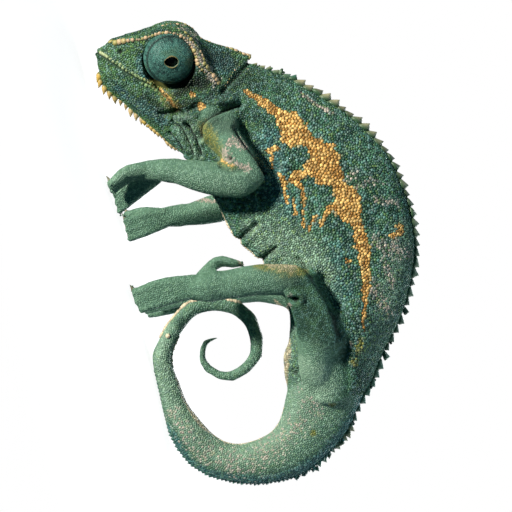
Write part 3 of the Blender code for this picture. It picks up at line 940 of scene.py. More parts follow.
@dataclass(frozen=True)
class HideFinish:
    """The skin and its scales: green, with the markings laid over it in order."""

    name: str
    scaled: bool = True
    deep: Colour = (0.02, 0.088, 0.054)
    leaf: Colour = (0.085, 0.235, 0.12)
    # glint is the colour of the painted glints on single pale scales.
    glint: Colour = (0.36, 0.5, 0.42)
    roughness: float = 0.42
    height: float = 0.5  # how high the scales stand, against their width
    uneven: float = 0.34  # how much lighter or darker single scales are
    pale: float = 0.18  # how strongly the palest scales take the painted glint colour
    variety: float = 0.65  # how far single scales turn to the hues
    hues: tuple[Colour, ...] = ((0.125, 0.215, 0.035), (0.115, 0.215, 0.23))
    base_shade: float = 0.25  # painted shade: how dark a scale's foot is, against its top, which is painted a little lighter
    darkest: float = 0.07  # what is left of the colour under full painted shade, in pits, creases and shaded places
    skin_shade: float = 0.42  # how dark the bare skin is between the scales
    tints: tuple[Tint, ...] = (
        Tint(Tone.TEAL, (0.024, 0.118, 0.118), (0.115, 0.3, 0.29), 0.15, 0.95, 0.9),
        Tint(Tone.SAGE, (0.095, 0.225, 0.155), (0.18, 0.345, 0.245), 0.1, 0.9, 0.35),
        Tint(Tone.MINT, (0.19, 0.35, 0.25), (0.31, 0.49, 0.37), 0.1, 0.9, 0.4),
        Tint(Tone.OLIVE, (0.13, 0.195, 0.045), (0.34, 0.325, 0.08), 0.12, 0.95, 0.6),
        Tint(Tone.BLUSH, (0.23, 0.25, 0.215), (0.56, 0.48, 0.42), 0.3, 0.85, 1.3),
        Tint(Tone.GOLD, (0.45, 0.21, 0.038), (0.88, 0.59, 0.21), 0.42, 0.58, 0.25),
        Tint(Tone.CREAM, (0.46, 0.42, 0.29), (0.7, 0.62, 0.44), 0.2, 0.8, 0.4),
    )

    def dress(self) -> Material:
        """Builds the material: the green, each tint over it, then relief with painted glints and
        shade, then the painted shade of pits, creases and shaded places.

        Returns:
            The material.
        """
        g = Surface(self.name)
        mottle, fine = g.grain(330.0, 3.0), g.grain(1500.0, 2.0)
        chance = g.carried("chance") if self.scaled else fine
        both = g.math("ADD", g.times(mottle, 0.35), g.times(chance, 0.65))
        colour = g.mix(g.smooth(mottle, 0.36, 0.64), self.deep, self.leaf)
        for tint in self.tints:
            amount = g.carried(tint.tone.value)
            offset = g.times(g.math("SUBTRACT", both, 0.5), tint.ragged)
            present = g.times(offset, g.smooth(amount, 0.02, 0.15))
            share = g.smooth(g.math("ADD", amount, present), tint.low, tint.high)
            colour = g.mix(share, colour, g.mix(chance, tint.first, tint.second))
        colour = self.relief(g, colour, chance)
        # Painted shade in pits, creases and shaded places darkens the colour.
        lit = g.smooth(g.carried(Tone.GLOOM.value), 0.0, 1.0, 1.0, self.darkest)
        g.emboss(fine, 0.35, 0.00006)
        values = {"Roughness": self.roughness, "Specular_IOR_Level": 0.45}
        return g.finish(g.scaled(colour, lit), **values)

    def relief(self, g: Surface, colour: Socket, chance: Socket) -> Socket:
        """The colour with light and dark scales, painted pale glints, and painted shade at their
        feet below lighter tops.

        Args:
            g: the material's nodes.
            colour: the colour so far.
            chance: a number of each scale's own from 0 to 1.

        Returns:
            The new colour.
        """
        if not self.scaled:
            even = g.carried("even")
            return g.scaled(colour, g.smooth(even, 0.0, 1.0, self.skin_shade, 0.85))
        plain = g.math("SUBTRACT", 1.0, g.carried(Tone.GOLD.value))
        for hue, times in zip(self.hues, (3.7, 11.3)):
            picked = g.math("FRACT", g.times(chance, times))
            picked = g.smooth(picked, 0.55, 1.0, 0.0, self.variety)
            colour = g.mix(g.times(picked, plain), colour, hue)
        other = g.math("FRACT", g.times(chance, 7.31))
        bright = g.smooth(other, 0.0, 1.0, 1.0 - self.uneven, 1.0 + self.uneven)
        colour = g.scaled(colour, bright)
        # Painted glints: the palest scales, away from the gold stripe, are turned towards the glint
        # colour.
        pale = g.times(g.smooth(chance, 0.72, 0.97), g.times(plain, self.pale))
        colour = g.mix(pale, colour, self.glint)
        # Painted shade at each scale's foot, and painted light on its top, from the scale's height.
        return g.scaled(colour, g.smooth(g.carried("lift"), 0.0, 1.0, self.base_shade, 1.12))


@dataclass(frozen=True)
class HornFinish:
    """Spines, beads and claws: one colour at the foot and another at the tip."""

    name: str
    foot: Colour
    tip: Colour
    turn: Pair = (0.1, 0.7)
    along: Colour | None = None  # the tips' colour at the row's far end
    fleck: Colour | None = None  # the tips' colour on some of them
    roughness: float = 0.42

    def dress(self) -> Material:
        """Builds the material.

        Returns:
            The material.
        """
        g = Surface(self.name)
        chance, lift = g.carried("chance"), g.carried("lift")
        tip = self.tip
        if self.along:
            tip = g.mix(g.carried("share"), tip, self.along)
        if self.fleck:
            other = g.math("FRACT", g.times(chance, 5.7))
            tip = g.mix(g.smooth(other, 0.45, 0.85), tip, self.fleck)
        colour = g.mix(g.smooth(lift, *self.turn), self.foot, tip)
        colour = g.scaled(colour, g.smooth(chance, 0.0, 1.0, 0.72, 1.22))
        g.emboss(g.grain(2500.0, 2.0), 0.3, 0.00005)
        return g.finish(colour, Roughness=self.roughness)


@dataclass(frozen=True)
class TurretFinish:
    """The eyelids' fine teal skin, streaked outwards from the opening, with painted shade in its
    grooves and on its hidden back.
    """

    name: str = "turret_skin"
    light: Colour = (0.088, 0.275, 0.235)
    dark: Colour = (0.012, 0.06, 0.056)
    moss: Colour = (0.05, 0.12, 0.05)
    pit: Colour = (0.008, 0.03, 0.028)
    roughness: float = 0.45

    def dress(self) -> Material:
        """Builds the material.

        Returns:
            The material.
        """
        g = Surface(self.name)
        lines = g.grain(3.0, 3.0, g.carried("streak", "Vector"))
        cloud = g.grain(420.0, 2.0)
        both = g.math("ADD", g.times(lines, 0.55), g.times(cloud, 0.45))
        colour = g.mix(g.smooth(both, 0.36, 0.6), self.dark, self.light)
        colour = g.mix(g.smooth(cloud, 0.55, 0.75, 0.0, 0.7), colour, self.moss)
        g.emboss(lines, 0.5, 0.00012)
        # Painted shade in the grooves and on the turret's back.
        return g.finish(g.mix(g.carried("groove"), colour, self.pit), Roughness=self.roughness)


@dataclass(frozen=True)
class EyeballFinish:
    """The wet, almost black eye in the lids' opening."""

    name: str = "eyeball"
    iris: Colour = (0.03, 0.016, 0.006)
    pupil: Colour = (0.001, 0.001, 0.001)
    roughness: float = 0.18

    def dress(self) -> Material:
        """Builds the material.

        Returns:
            The material.
        """
        g = Surface(self.name)
        colour = g.mix(g.smooth(g.carried("reach"), 0.62, 0.8), self.pupil, self.iris)
        return g.finish(colour, Roughness=self.roughness, Specular_IOR_Level=0.3)


@dataclass(frozen=True)
class FloorFinish:
    """The pale floor, which thins out into the background."""

    name: str = "pale_floor"
    shade: Colour = (0.25, 0.25, 0.25)
    speck: Colour = (0.2, 0.2, 0.2)
    solid_to: float = 0.05
    gone_by: float = 0.16
    glow: float = 0.9

    def dress(self) -> Material:
        """Builds the material.

        Returns:
            The material.
        """
        g = Surface(self.name)
        away = g.vector("LENGTH", g.out("ShaderNodeTexCoord", key="Object"), key="Value")
        colour = g.mix(g.times(g.grain(900.0, 2.0), 0.04), self.shade, self.speck)
        thin = g.smooth(away, self.solid_to, self.gone_by, 1.0, 0.0)
        g.tree.links.new(thin, g.shader["Alpha"])
        glow = {"Emission_Color": (1.0, 1.0, 1.0, 1.0), "Emission_Strength": self.glow}
        return g.finish(colour, Roughness=0.9, **glow)


# ------------ the skin


BODY_COATS = (Coat.TRUNK, Coat.NECK, Coat.TAIL_BASE, Coat.TAIL)
HEAD_ONLY = (Coat.HEAD,)
TRUNK_ONLY = (Coat.TRUNK,)
ARMS_ONLY = (Coat.ARMS,)
LEGS_ONLY = (Coat.LEGS,)
TAIL_COATS = (Coat.TAIL_BASE, Coat.TAIL)
WITH_HEAD = (Coat.HEAD, Coat.NECK)
WITH_ARMS = (Coat.NECK, Coat.TRUNK, Coat.ARMS)
WITH_LEGS = (Coat.TRUNK, Coat.TAIL_BASE, Coat.LEGS)


@dataclass(frozen=True)
class Mark:
    """Strokes and spots of one marking or of painted shade, the same on both sides of the animal.

    A stroke is three numbers for each place along its middle: x, z and half width on the
    body, or the distance to the snout, the height and the half width on the head. soft is
    how gradual their edges are. A strength below 0 wears the marking away.
    """

    tone: Tone
    strength: float
    soft: float
    strokes: tuple[Place, ...]
    coats: tuple[Coat, ...]
    ragged: float


def mark(
    tone: Tone,
    strength: float,
    soft: float,
    *strokes: Place,
    coats: tuple[Coat, ...] = BODY_COATS,
    ragged: float = 0.45,
) -> Mark:
    """A marking or painted shade whose strokes are listed one after the other."""
    return Mark(tone, strength, soft, strokes, coats, ragged)


@dataclass(frozen=True)
class Fold:
    """A crease along a few places, two numbers each, or a ridge with a depth below 0, with painted
    shade along it.
    """

    width: float
    depth: float
    gloom: float
    path: Place
    coats: tuple[Coat, ...] = BODY_COATS
    on_head: bool = False


TAIL_EDGE = (
    22.6, 32.0, 1.0, 26.0, 30.2, 1.4, 30.0, 26.7, 1.7, 33.7, 21.6, 1.8,
    35.4, 15.2, 1.8, 34.2, 8.3, 1.6, 30.5, 2.5, 1.3, 23.8, 0.2, 0.9,
)
MARKS = (
    # The side stripe, then its broken end along the hip and tail.
    mark(Tone.GOLD, 1.0, 0.15,
        (
            -22.6, 22.9, 0.3, -20.6, 25.0, 0.7, -18.2, 26.9, 0.9, -15.9, 28.5, 2.1,
            -14.6, 28.9, 2.1, -12.9, 30.6, 1.1, -10.7, 32.0, 2.4, -8.4, 32.1, 2.5, -6.4, 33.2, 1.2,
            -3.8, 33.7, 1.8, -2.0, 34.0, 1.9, 0.7, 34.7, 1.0, 4.1, 34.5, 1.1, 7.0, 34.4, 0.7,
            11.5, 33.4, 0.5, 13.7, 32.6, 0.3, 16.2, 32.0, 0.2,
        ),
        ragged=0.55,
    ),
    mark(Tone.OLIVE, 1.0, 0.2, (17.3, 31.3, 0.5, 18.8, 30.6, 0.6), (20.3, 29.6, 0.6)),
    mark(Tone.OLIVE, 1.0, 0.3,
        (22.5, 27.6, 0.8),
        (23.6, 26.9, 0.6),
        (25.4, 25.1, 0.6),
        (29.2, 21.3, 0.5),
        ragged=0.2,
    ),
    # Small orange streaks below the stripe and behind it.
    mark(Tone.GOLD, 1.0, 0.2,
        (-13.2, 24.0, 0.3, -13.2, 25.8, 0.5),
        (-13.3, 24.8, 0.3, -10.6, 24.3, 0.2),
        (-9.5, 25.0, 0.3, -8.0, 25.6, 0.4, -5.1, 25.1, 0.3),
        (-7.8, 26.4, 0.4, -8.5, 27.5, 0.8, -8.5, 28.9, 0.6),
        (-7.6, 27.3, 0.6, -6.5, 28.0, 0.4),
        (-5.5, 26.4, 0.2, -3.0, 26.1, 0.3),
        (-6.7, 28.1, 0.2, -1.2, 26.9, 0.3),
        (-2.3, 29.0, 0.4, -0.2, 27.4, 0.2),
        (-2.9, 31.1, 0.4, -0.6, 29.4, 0.3),
        (5.4, 32.2, 0.4, 6.1, 32.0, 0.3),
    ),
    mark(Tone.GOLD, 0.8, 0.2, (1.9, 40.3, 0.4, 2.8, 41.0, 0.4, 3.4, 39.2, 0.3)),
    mark(Tone.BLUSH, 1.0, 0.3, (-20.7, 30.8, 0.2, -18.5, 32.6, 0.3, -16.6, 34.8, 0.3)),
    # Dusty patches on the back, hip and tail.
    mark(Tone.BLUSH, 0.62, 0.9,
        (3.6, 36.9, 0.9, 5.0, 38.6, 1.4, 6.8, 41.2, 1.0),
        (9.6, 34.8, 0.8, 11.8, 35.0, 1.1, 14.2, 36.2, 0.8),
    ),
    mark(Tone.BLUSH, 0.6, 0.9,
        (-5.3, 35.6, 0.5, -5.1, 39.3, 0.6),
        (-2.4, 38.2, 0.6, -1.2, 41.2, 0.5),
        (7.0, 37.2, 0.5, 10.3, 37.8, 0.6),
    ),
    mark(Tone.BLUSH, 0.55, 0.9, (-7.0, 35.8, 0.7, -5.2, 33.9, 0.8)),
    mark(Tone.BLUSH, 1.0, 0.3, (17.5, 29.4, 0.5)),
    mark(Tone.BLUSH, 0.4, 0.9,
        (19.8, 23.6, 1.0, 22.8, 22.4, 1.6, 25.8, 21.8, 1.8),
        (
            27.4, 19.2, 1.8, 30.2, 14.6, 2.2, 31.3, 10.6, 2.2, 29.3, 6.0, 2.0, 26.6, 3.2, 1.4,
            22.0, 1.6, 1.2,
        ),
    ),
    # The pale lower flank and the pale side of the tail's root.
    mark(Tone.SAGE, 1.0, 0.9,
        (-2.0, 21.5, 3.4, 3.0, 24.5, 4.2, 9.0, 25.0, 4.0),
        (14.0, 22.5, 3.0, 22.0, 20.5, 3.6, 28.0, 16.0, 3.4),
        ragged=0.3,
    ),
    mark(Tone.SAGE, 1.0, 0.9,
        (17.5, 22.5, 2.6, 20.5, 24.0, 3.6, 25.0, 20.5, 3.8, 28.5, 15.0, 3.2),
        coats=WITH_LEGS, ragged=0.3,
    ),
    mark(Tone.SAGE, 1.0, 0.9,
        (3.0, 41.0, 1.6, 8.0, 39.5, 2.4, 12.5, 37.4, 2.8, 17.0, 34.6, 2.6, 20.6, 31.6, 1.8),
        ragged=0.6,
    ),
    mark(Tone.MINT, 0.35, 0.9, (6.0, 40.2, 1.6, 12.0, 37.8, 2.2, 17.0, 34.8, 1.8), ragged=0.9),
    mark(Tone.MINT, 0.9, 0.9,
        (
            18.8, 21.6, 1.6, 21.4, 23.2, 3.0, 24.6, 21.4, 3.2, 27.4, 18.0, 2.8, 29.2, 14.0, 2.6,
            29.4, 10.0, 2.5, 27.8, 6.2, 2.4, 24.4, 3.4, 2.1, 20.0, 1.8, 1.7, 14.0, 1.6, 1.5,
            9.0, 3.2, 1.4,
        ), coats=(*TAIL_COATS, Coat.LEGS), ragged=0.3,
    ),
    mark(Tone.MINT, 0.8, 0.9,
        (-2.6, 18.6, 1.2, -0.6, 21.0, 2.4, 1.6, 24.4, 2.8, 3.8, 26.9, 2.2, 7.0, 28.6, 1.4),
        coats=TRUNK_ONLY,
    ),
    mark(Tone.MINT, 0.4, 0.9,
        (-14.0, 2.0, 3.0, -11.0, 10.0, 3.0, -9.2, 18.0, 2.6), coats=ARMS_ONLY,
    ),
    mark(Tone.MINT, 0.45, 0.9,
        (-21.6, 12.0, 1.0, -19.8, 13.0, 1.6, -17.4, 13.8, 1.6, -15.4, 13.9, 1.1), coats=WITH_ARMS,
    ),
    mark(Tone.SAGE, 1.0, 0.9,
        (-21.6, 12.0, 1.0, -19.8, 13.0, 1.6, -17.4, 13.8, 1.6, -15.4, 13.9, 1.1), coats=WITH_ARMS,
    ),
    # The tail's dark outer edge.
    mark(Tone.SAGE, -0.85, 0.6, TAIL_EDGE, coats=TAIL_COATS, ragged=0.3),
    mark(Tone.MINT, -1.0, 0.6, TAIL_EDGE, coats=TAIL_COATS, ragged=0.3),
    mark(Tone.TEAL, 1.0, 0.6, TAIL_EDGE, coats=TAIL_COATS, ragged=0.3),
    mark(Tone.TEAL, 1.0, 0.9, (-14.5, 24.5, 2.4, -8.0, 24.0, 2.6, -3.0, 25.5, 2.0), ragged=0.3),
    mark(Tone.TEAL, 0.8, 0.9, (4.0, 29.5, 3.0, 10.0, 29.5, 3.0)),
    # Cream: the belly's middle line, the vent, the inner edge of the tail.
    mark(Tone.CREAM, 1.0, 0.4,
        (15.2, 20.2, 0.9, 18.6, 18.9, 1.1, 21.6, 18.2, 0.6),
        (24.6, 17.4, 0.5, 27.0, 14.3, 0.35, 27.8, 10.8, 0.3),
        (26.6, 7.4, 0.45, 23.5, 4.9, 0.5, 19.0, 3.7, 0.5, 14.0, 3.3, 0.45),
    ),
    # Arms and legs.
    mark(Tone.OLIVE, 0.72, 0.9,
        (-18.9, 15.6, 0.9, -17.0, 16.2, 1.3, -15.2, 16.8, 1.1, -13.2, 17.5, 0.9, -12.0, 18.9, 0.6),
        coats=ARMS_ONLY,
    ),
    mark(Tone.GOLD, 0.6, 0.9,
        (-13.3, 17.3, 0.3, -12.5, 18.0, 0.3, -12.0, 18.9, 0.25), coats=ARMS_ONLY,
    ),
    mark(Tone.BLUSH, 0.85, 0.9,
        (-15.5, 18.9, 0.6, -15.2, 20.0, 0.8, -14.4, 21.0, 0.5),
        (-14.4, 18.0, 0.6, -12.9, 18.5, 0.7),
        (-12.3, 19.2, 0.4, -11.2, 20.7, 0.5), coats=ARMS_ONLY,
    ),
    mark(Tone.BLUSH, 0.8, 0.6,
        (-9.4, 10.6, 0.35, -8.7, 12.2, 0.3, -7.9, 14.2, 0.3, -7.2, 17.0, 0.25), coats=ARMS_ONLY,
    ),
    # Painted shade in the pit on the elbow.
    mark(Tone.GLOOM, 1.0, 0.3, (-13.2, 18.7, 0.26), coats=ARMS_ONLY, ragged=0.0),
    mark(Tone.TEAL, 1.0, 0.9, (-18.6, 18.4, 1.6, -16.4, 19.4, 1.4), coats=ARMS_ONLY),
    mark(Tone.OLIVE, 0.75, 0.9,
        (2.8, 18.8, 0.6, 3.5, 21.5, 1.3, 4.2, 23.2, 1.6, 5.4, 25.2, 0.9), coats=LEGS_ONLY,
    ),
    mark(Tone.CREAM, 0.55, 0.9, (2.8, 20.0, 0.5, 3.6, 22.0, 1.0, 4.4, 24.0, 1.1), coats=LEGS_ONLY),
    mark(Tone.BLUSH, 1.0, 0.4, (8.4, 22.7, 0.3), coats=LEGS_ONLY),
    mark(Tone.BLUSH, 0.9, 0.5, (9.8, 22.1, 0.4, 10.9, 21.3, 0.35), coats=LEGS_ONLY),
    mark(Tone.CREAM, 1.0, 0.5,
        (8.9, 19.9, 0.25, 10.6, 20.8, 0.3, 12.5, 21.1, 0.3, 14.6, 21.2, 0.3), coats=LEGS_ONLY,
    ),
    # Painted shade in the pit on the knee.
    mark(Tone.GLOOM, 1.0, 0.3, (9.1, 23.3, 0.36), coats=LEGS_ONLY, ragged=0.0),
    # Painted shade on the thigh, the neck and the shoulder.
    mark(Tone.GLOOM, 0.25, 0.9, (3.6, 20.0, 1.2, 6.4, 22.6, 0.9), coats=LEGS_ONLY, ragged=0.3),
    mark(Tone.GLOOM, 0.35, 0.9,
        (-23.0, 11.5, 2.5, -21.5, 15.5, 2.5, -20.6, 20.0, 2.2), coats=(Coat.NECK,),
    ),
    mark(Tone.GLOOM, 0.5, 0.9, (-19.2, 17.6, 1.4, -17.8, 19.6, 1.6), coats=ARMS_ONLY),
    mark(Tone.GLOOM, 0.42, 0.9, (5.8, 23.4, 1.6, 9.5, 24.6, 2.4, 14.0, 24.8, 2.6), coats=LEGS_ONLY),
    # The head: yellow-green streaks below the eye, orange spots, blue-green casque, and painted
    # shade.
    mark(Tone.OLIVE, 1.0, 0.6,
        (3.0, -2.9, 0.4, 1.7, -3.8, 0.7, 0.2, -5.1, 1.0, -0.9, -6.5, 0.8), coats=HEAD_ONLY,
    ),
    mark(Tone.OLIVE, 0.7, 0.35, (4.6, -2.2, 0.25, 3.6, -2.8, 0.3), coats=HEAD_ONLY),
    mark(Tone.GOLD, 0.72, 0.35,
        (1.5, -4.0, 0.3, 0.4, -4.9, 0.42, -0.5, -6.0, 0.42, -1.1, -7.0, 0.3), coats=HEAD_ONLY,
    ),
    mark(Tone.GOLD, 0.85, 0.35, (-3.2, -4.5, 0.35, -4.3, -5.1, 0.4), coats=HEAD_ONLY),
    mark(Tone.GOLD, 1.0, 0.35,
        (-4.6, -6.2, 0.6, -5.6, -6.9, 0.5, -6.8, -7.0, 0.35), coats=WITH_HEAD,
    ),
    mark(Tone.CREAM, 0.3, 0.7,
        (5.0, 3.3, 0.3, 3.0, 3.8, 0.35, 1.0, 4.4, 0.35, -1.0, 4.3, 0.4), coats=HEAD_ONLY,
    ),
    mark(Tone.BLUSH, 0.75, 0.7,
        (-1.6, 4.4, 0.5, -3.4, 3.0, 0.7, -4.4, 1.2, 0.8, -5.6, -0.8, 0.8, -7.2, -3.2, 0.7),
        coats=HEAD_ONLY,
    ),
    mark(Tone.TEAL, 1.0, 0.9, (-6.5, 0.4, 1.8, -8.4, -0.4, 1.5), coats=HEAD_ONLY),
    mark(Tone.TEAL, 1.0, 0.6,
        (4.6, 0.6, 0.5, 4.4, -1.4, 0.5, 2.6, -3.2, 0.5),
        (8.1, -4.0, 0.5, 5.3, -5.8, 0.8, 1.0, -8.8, 0.9), coats=HEAD_ONLY,
    ),
    mark(Tone.SAGE, 0.35, 0.9, (9.6, 1.2, 1.4, 7.2, 0.0, 1.4, 5.2, -1.6, 0.8), coats=HEAD_ONLY),
    mark(Tone.BLUSH, 1.0, 0.6, (-6.9, -2.6, 0.5, -7.5, -3.6, 0.5), coats=HEAD_ONLY),
    # Painted shade: the eye's shadow on the cheek below and behind it.
    mark(Tone.GLOOM, 0.8, 0.9,
        (-1.2, -4.4, 0.8, -3.4, -3.1, 1.1, -5.2, -2.8, 1.2), coats=HEAD_ONLY,
    ),
    mark(Tone.GLOOM, 0.68, 0.9,
        (-0.5, -6.6, 1.2, -3.5, -6.2, 1.4, -6.2, -5.0, 1.2), coats=HEAD_ONLY,
    ),
    # Painted shade behind the eye on the casque, at the jaw's corner, behind the head and along the
    # lower jaw.
    mark(Tone.GLOOM, 0.6, 0.9, (-5.4, 1.4, 1.0, -8.0, 0.2, 1.6, -9.6, -0.6, 1.2), coats=HEAD_ONLY),
    mark(Tone.GLOOM, 0.55, 0.9, (1.8, -6.4, 0.6, 0.4, -7.4, 0.7), coats=HEAD_ONLY),
    mark(Tone.GLOOM, 0.5, 0.9,
        (-23.6, 18.0, 1.5, -24.0, 20.6, 2.0, -24.8, 24.0, 1.9), coats=(Coat.NECK, Coat.TRUNK),
    ),
    mark(Tone.GLOOM, 0.45, 0.9, (7.6, -4.3, 0.8, 3.4, -6.4, 1.6, 0.0, -8.8, 1.6), coats=HEAD_ONLY),
)
MOUTH = (11.6, 1.5, 10.2, 0.85, 8.4, -0.4, 6.4, -1.7, 4.2, -2.8, 2.2, -3.75, 0.5, -5.0)
# The third number of each fold is the shade painted along it.
FOLDS = (
    Fold(0.16, 0.2, 0.7, MOUTH, HEAD_ONLY, on_head=True),
    Fold(0.45, 0.4, 0.7, (0.5, -5.2, -0.6, -7.0, -2.2, -7.9, -3.8, -7.2), HEAD_ONLY, on_head=True),
    Fold(0.5, 0.2, 0.25, (9.2, -3.0, 6.4, -4.8, 3.4, -6.6, 0.8, -8.2), HEAD_ONLY, on_head=True),
    Fold(0.8, 0.25, 0.6, (-2.4, -3.2, -4.4, -3.2, -5.4, -1.6), HEAD_ONLY, on_head=True),
    # Where the casque lies on the neck.
    Fold(0.34, 0.4, 0.8,
        (-12.0, 0.0, -10.8, -1.2, -9.1, -2.8, -7.9, -4.2), WITH_HEAD, on_head=True,
    ),
    # The skin folds of the throat and the shoulder.
    Fold(0.6, -0.65, 0.0,
        (-21.0, 11.0, -20.9, 12.6, -20.6, 14.4, -20.9, 16.4, -21.5, 18.4, -21.9, 20.8), WITH_HEAD,
    ),
    Fold(0.34, 0.4, 0.7, (-22.3, 9.6, -21.9, 11.6, -21.7, 13.6, -22.2, 15.6), WITH_HEAD),
    Fold(0.27, 0.55, 0.9, (-20.3, 11.6, -19.0, 12.4, -17.0, 12.9, -14.9, 13.1), WITH_HEAD),
    Fold(0.27, 0.6, 0.9, (-19.8, 13.2, -18.2, 13.9, -16.4, 14.2, -14.9, 14.3), WITH_ARMS),
    Fold(0.27, 0.5, 0.8, (-19.2, 10.3, -17.4, 11.3, -15.8, 11.8), WITH_HEAD),
    Fold(0.42, 0.75, 0.9,
        (-17.4, 14.8, -18.6, 15.0, -19.5, 15.6, -20.2, 17.0, -20.6, 19.0, -20.7, 21.6), WITH_ARMS,
    ),
    Fold(0.36, 0.4, 0.9, (-17.4, 20.2, -14.8, 21.1, -12.2, 22.3, -9.8, 22.9), WITH_ARMS),
    Fold(0.95, 1.0, 0.35, (-17.6, 21.5, -15.3, 22.3, -13.0, 23.4, -10.6, 24.2), WITH_ARMS),
    # The flank and the belly.
    Fold(0.35, 0.15, 0.3, (-13.2, 21.8, -10.9, 24.4, -9.0, 28.2)),
    Fold(0.45, 0.5, 0.7, (-1.0, 16.4, -1.9, 18.0, -2.9, 20.0)),
    Fold(0.45, 0.45, 0.7, (2.7, 18.7, 2.0, 20.3, 1.2, 22.0)),
    Fold(0.5, 0.25, 0.3, (6.2, 19.9, 5.4, 22.4, 5.0, 24.6)),
    Fold(0.3, 0.15, 0.3, (-6.6, 28.0, -3.4, 27.2, -0.6, 27.1)),
    Fold(0.3, 0.15, 0.3, (-5.7, 26.7, -3.0, 26.0, 0.1, 25.9)),
    Fold(0.5, -0.35, 0.0, (-4.4, 13.6, -1.0, 15.4, 2.6, 17.6), TRUNK_ONLY),
    # The thigh's edges and the skin round the vent.
    Fold(0.42, 0.45, 0.6,
        (3.4, 25.0, 4.9, 25.7, 7.0, 26.4, 9.0, 27.3, 11.2, 27.9, 14.0, 28.1, 15.9, 28.2), WITH_LEGS,
    ),
    Fold(1.0, 0.9, 0.15, (7.2, 28.0, 9.4, 28.7, 11.4, 29.1), WITH_LEGS),
    Fold(2.2, -0.8, 0.0,
        (14.6, 31.2, 17.6, 30.6, 20.6, 29.0, 22.4, 27.4), (Coat.TRUNK, Coat.TAIL_BASE),
    ),
    # The thigh's root, flattened into the side of the tail.
    Fold(1.8, 0.9, 0.0, (19.4, 27.0, 21.4, 26.2, 22.8, 25.0, 23.4, 23.0), LEGS_ONLY),
    Fold(2.4, 0.55, 0.0, (26.0, 23.5, 30.0, 17.5, 31.2, 11.5, 28.4, 6.5), TAIL_COATS),
    Fold(0.4, 0.3, 0.6, (19.9, 20.4, 19.2, 21.8, 18.7, 22.9)),
    Fold(0.9, -0.45, 0.0, (17.0, 20.6, 18.4, 19.4, 20.4, 18.9)),
    # The elbow and the knee.
    Fold(0.7, -0.25, 0.0, (-15.6, 18.6, -13.9, 18.3, -12.5, 18.8), ARMS_ONLY),
    Fold(0.26, 0.45, 0.0, (-13.25, 18.7, -13.15, 18.7), ARMS_ONLY),
    Fold(0.35, 0.3, 0.35, (-12.4, 17.2, -11.4, 18.6, -11.0, 20.4), ARMS_ONLY),
    Fold(0.4, -0.25, 0.0, (8.0, 22.6, 8.6, 23.9, 9.4, 24.3), LEGS_ONLY),
    Fold(0.38, 0.5, 0.0, (9.0, 23.0, 9.2, 23.6), LEGS_ONLY),
)
# Lines along which the skin is evened out once more, and how far: the tail's root.
EVENED = (((24.4, 21.6, 25.6, 25.4, 26.8, 28.8), 2.6),)
# The nostrils' place on the head, then the reach and depth of their pit and of their rim.
NOSTRIL = (7.4, 1.6)
NOSTRIL_RINGS = ((0.34, 0.55), (0.85, -0.22))
# Where a marking is strong, its scales are coarser: the tone, the coats, by how much, and
# the strengths at which that starts and is complete.
COARSER = (
    (Tone.GOLD, (Coat.TRUNK, Coat.NECK), 0.06, 0.4, 0.6),
    (Tone.TEAL, TAIL_COATS, 0.07, 0.5, 0.8),
    (Tone.SAGE, (Coat.TRUNK, Coat.TAIL_BASE), -0.06, 0.3, 0.8),
)


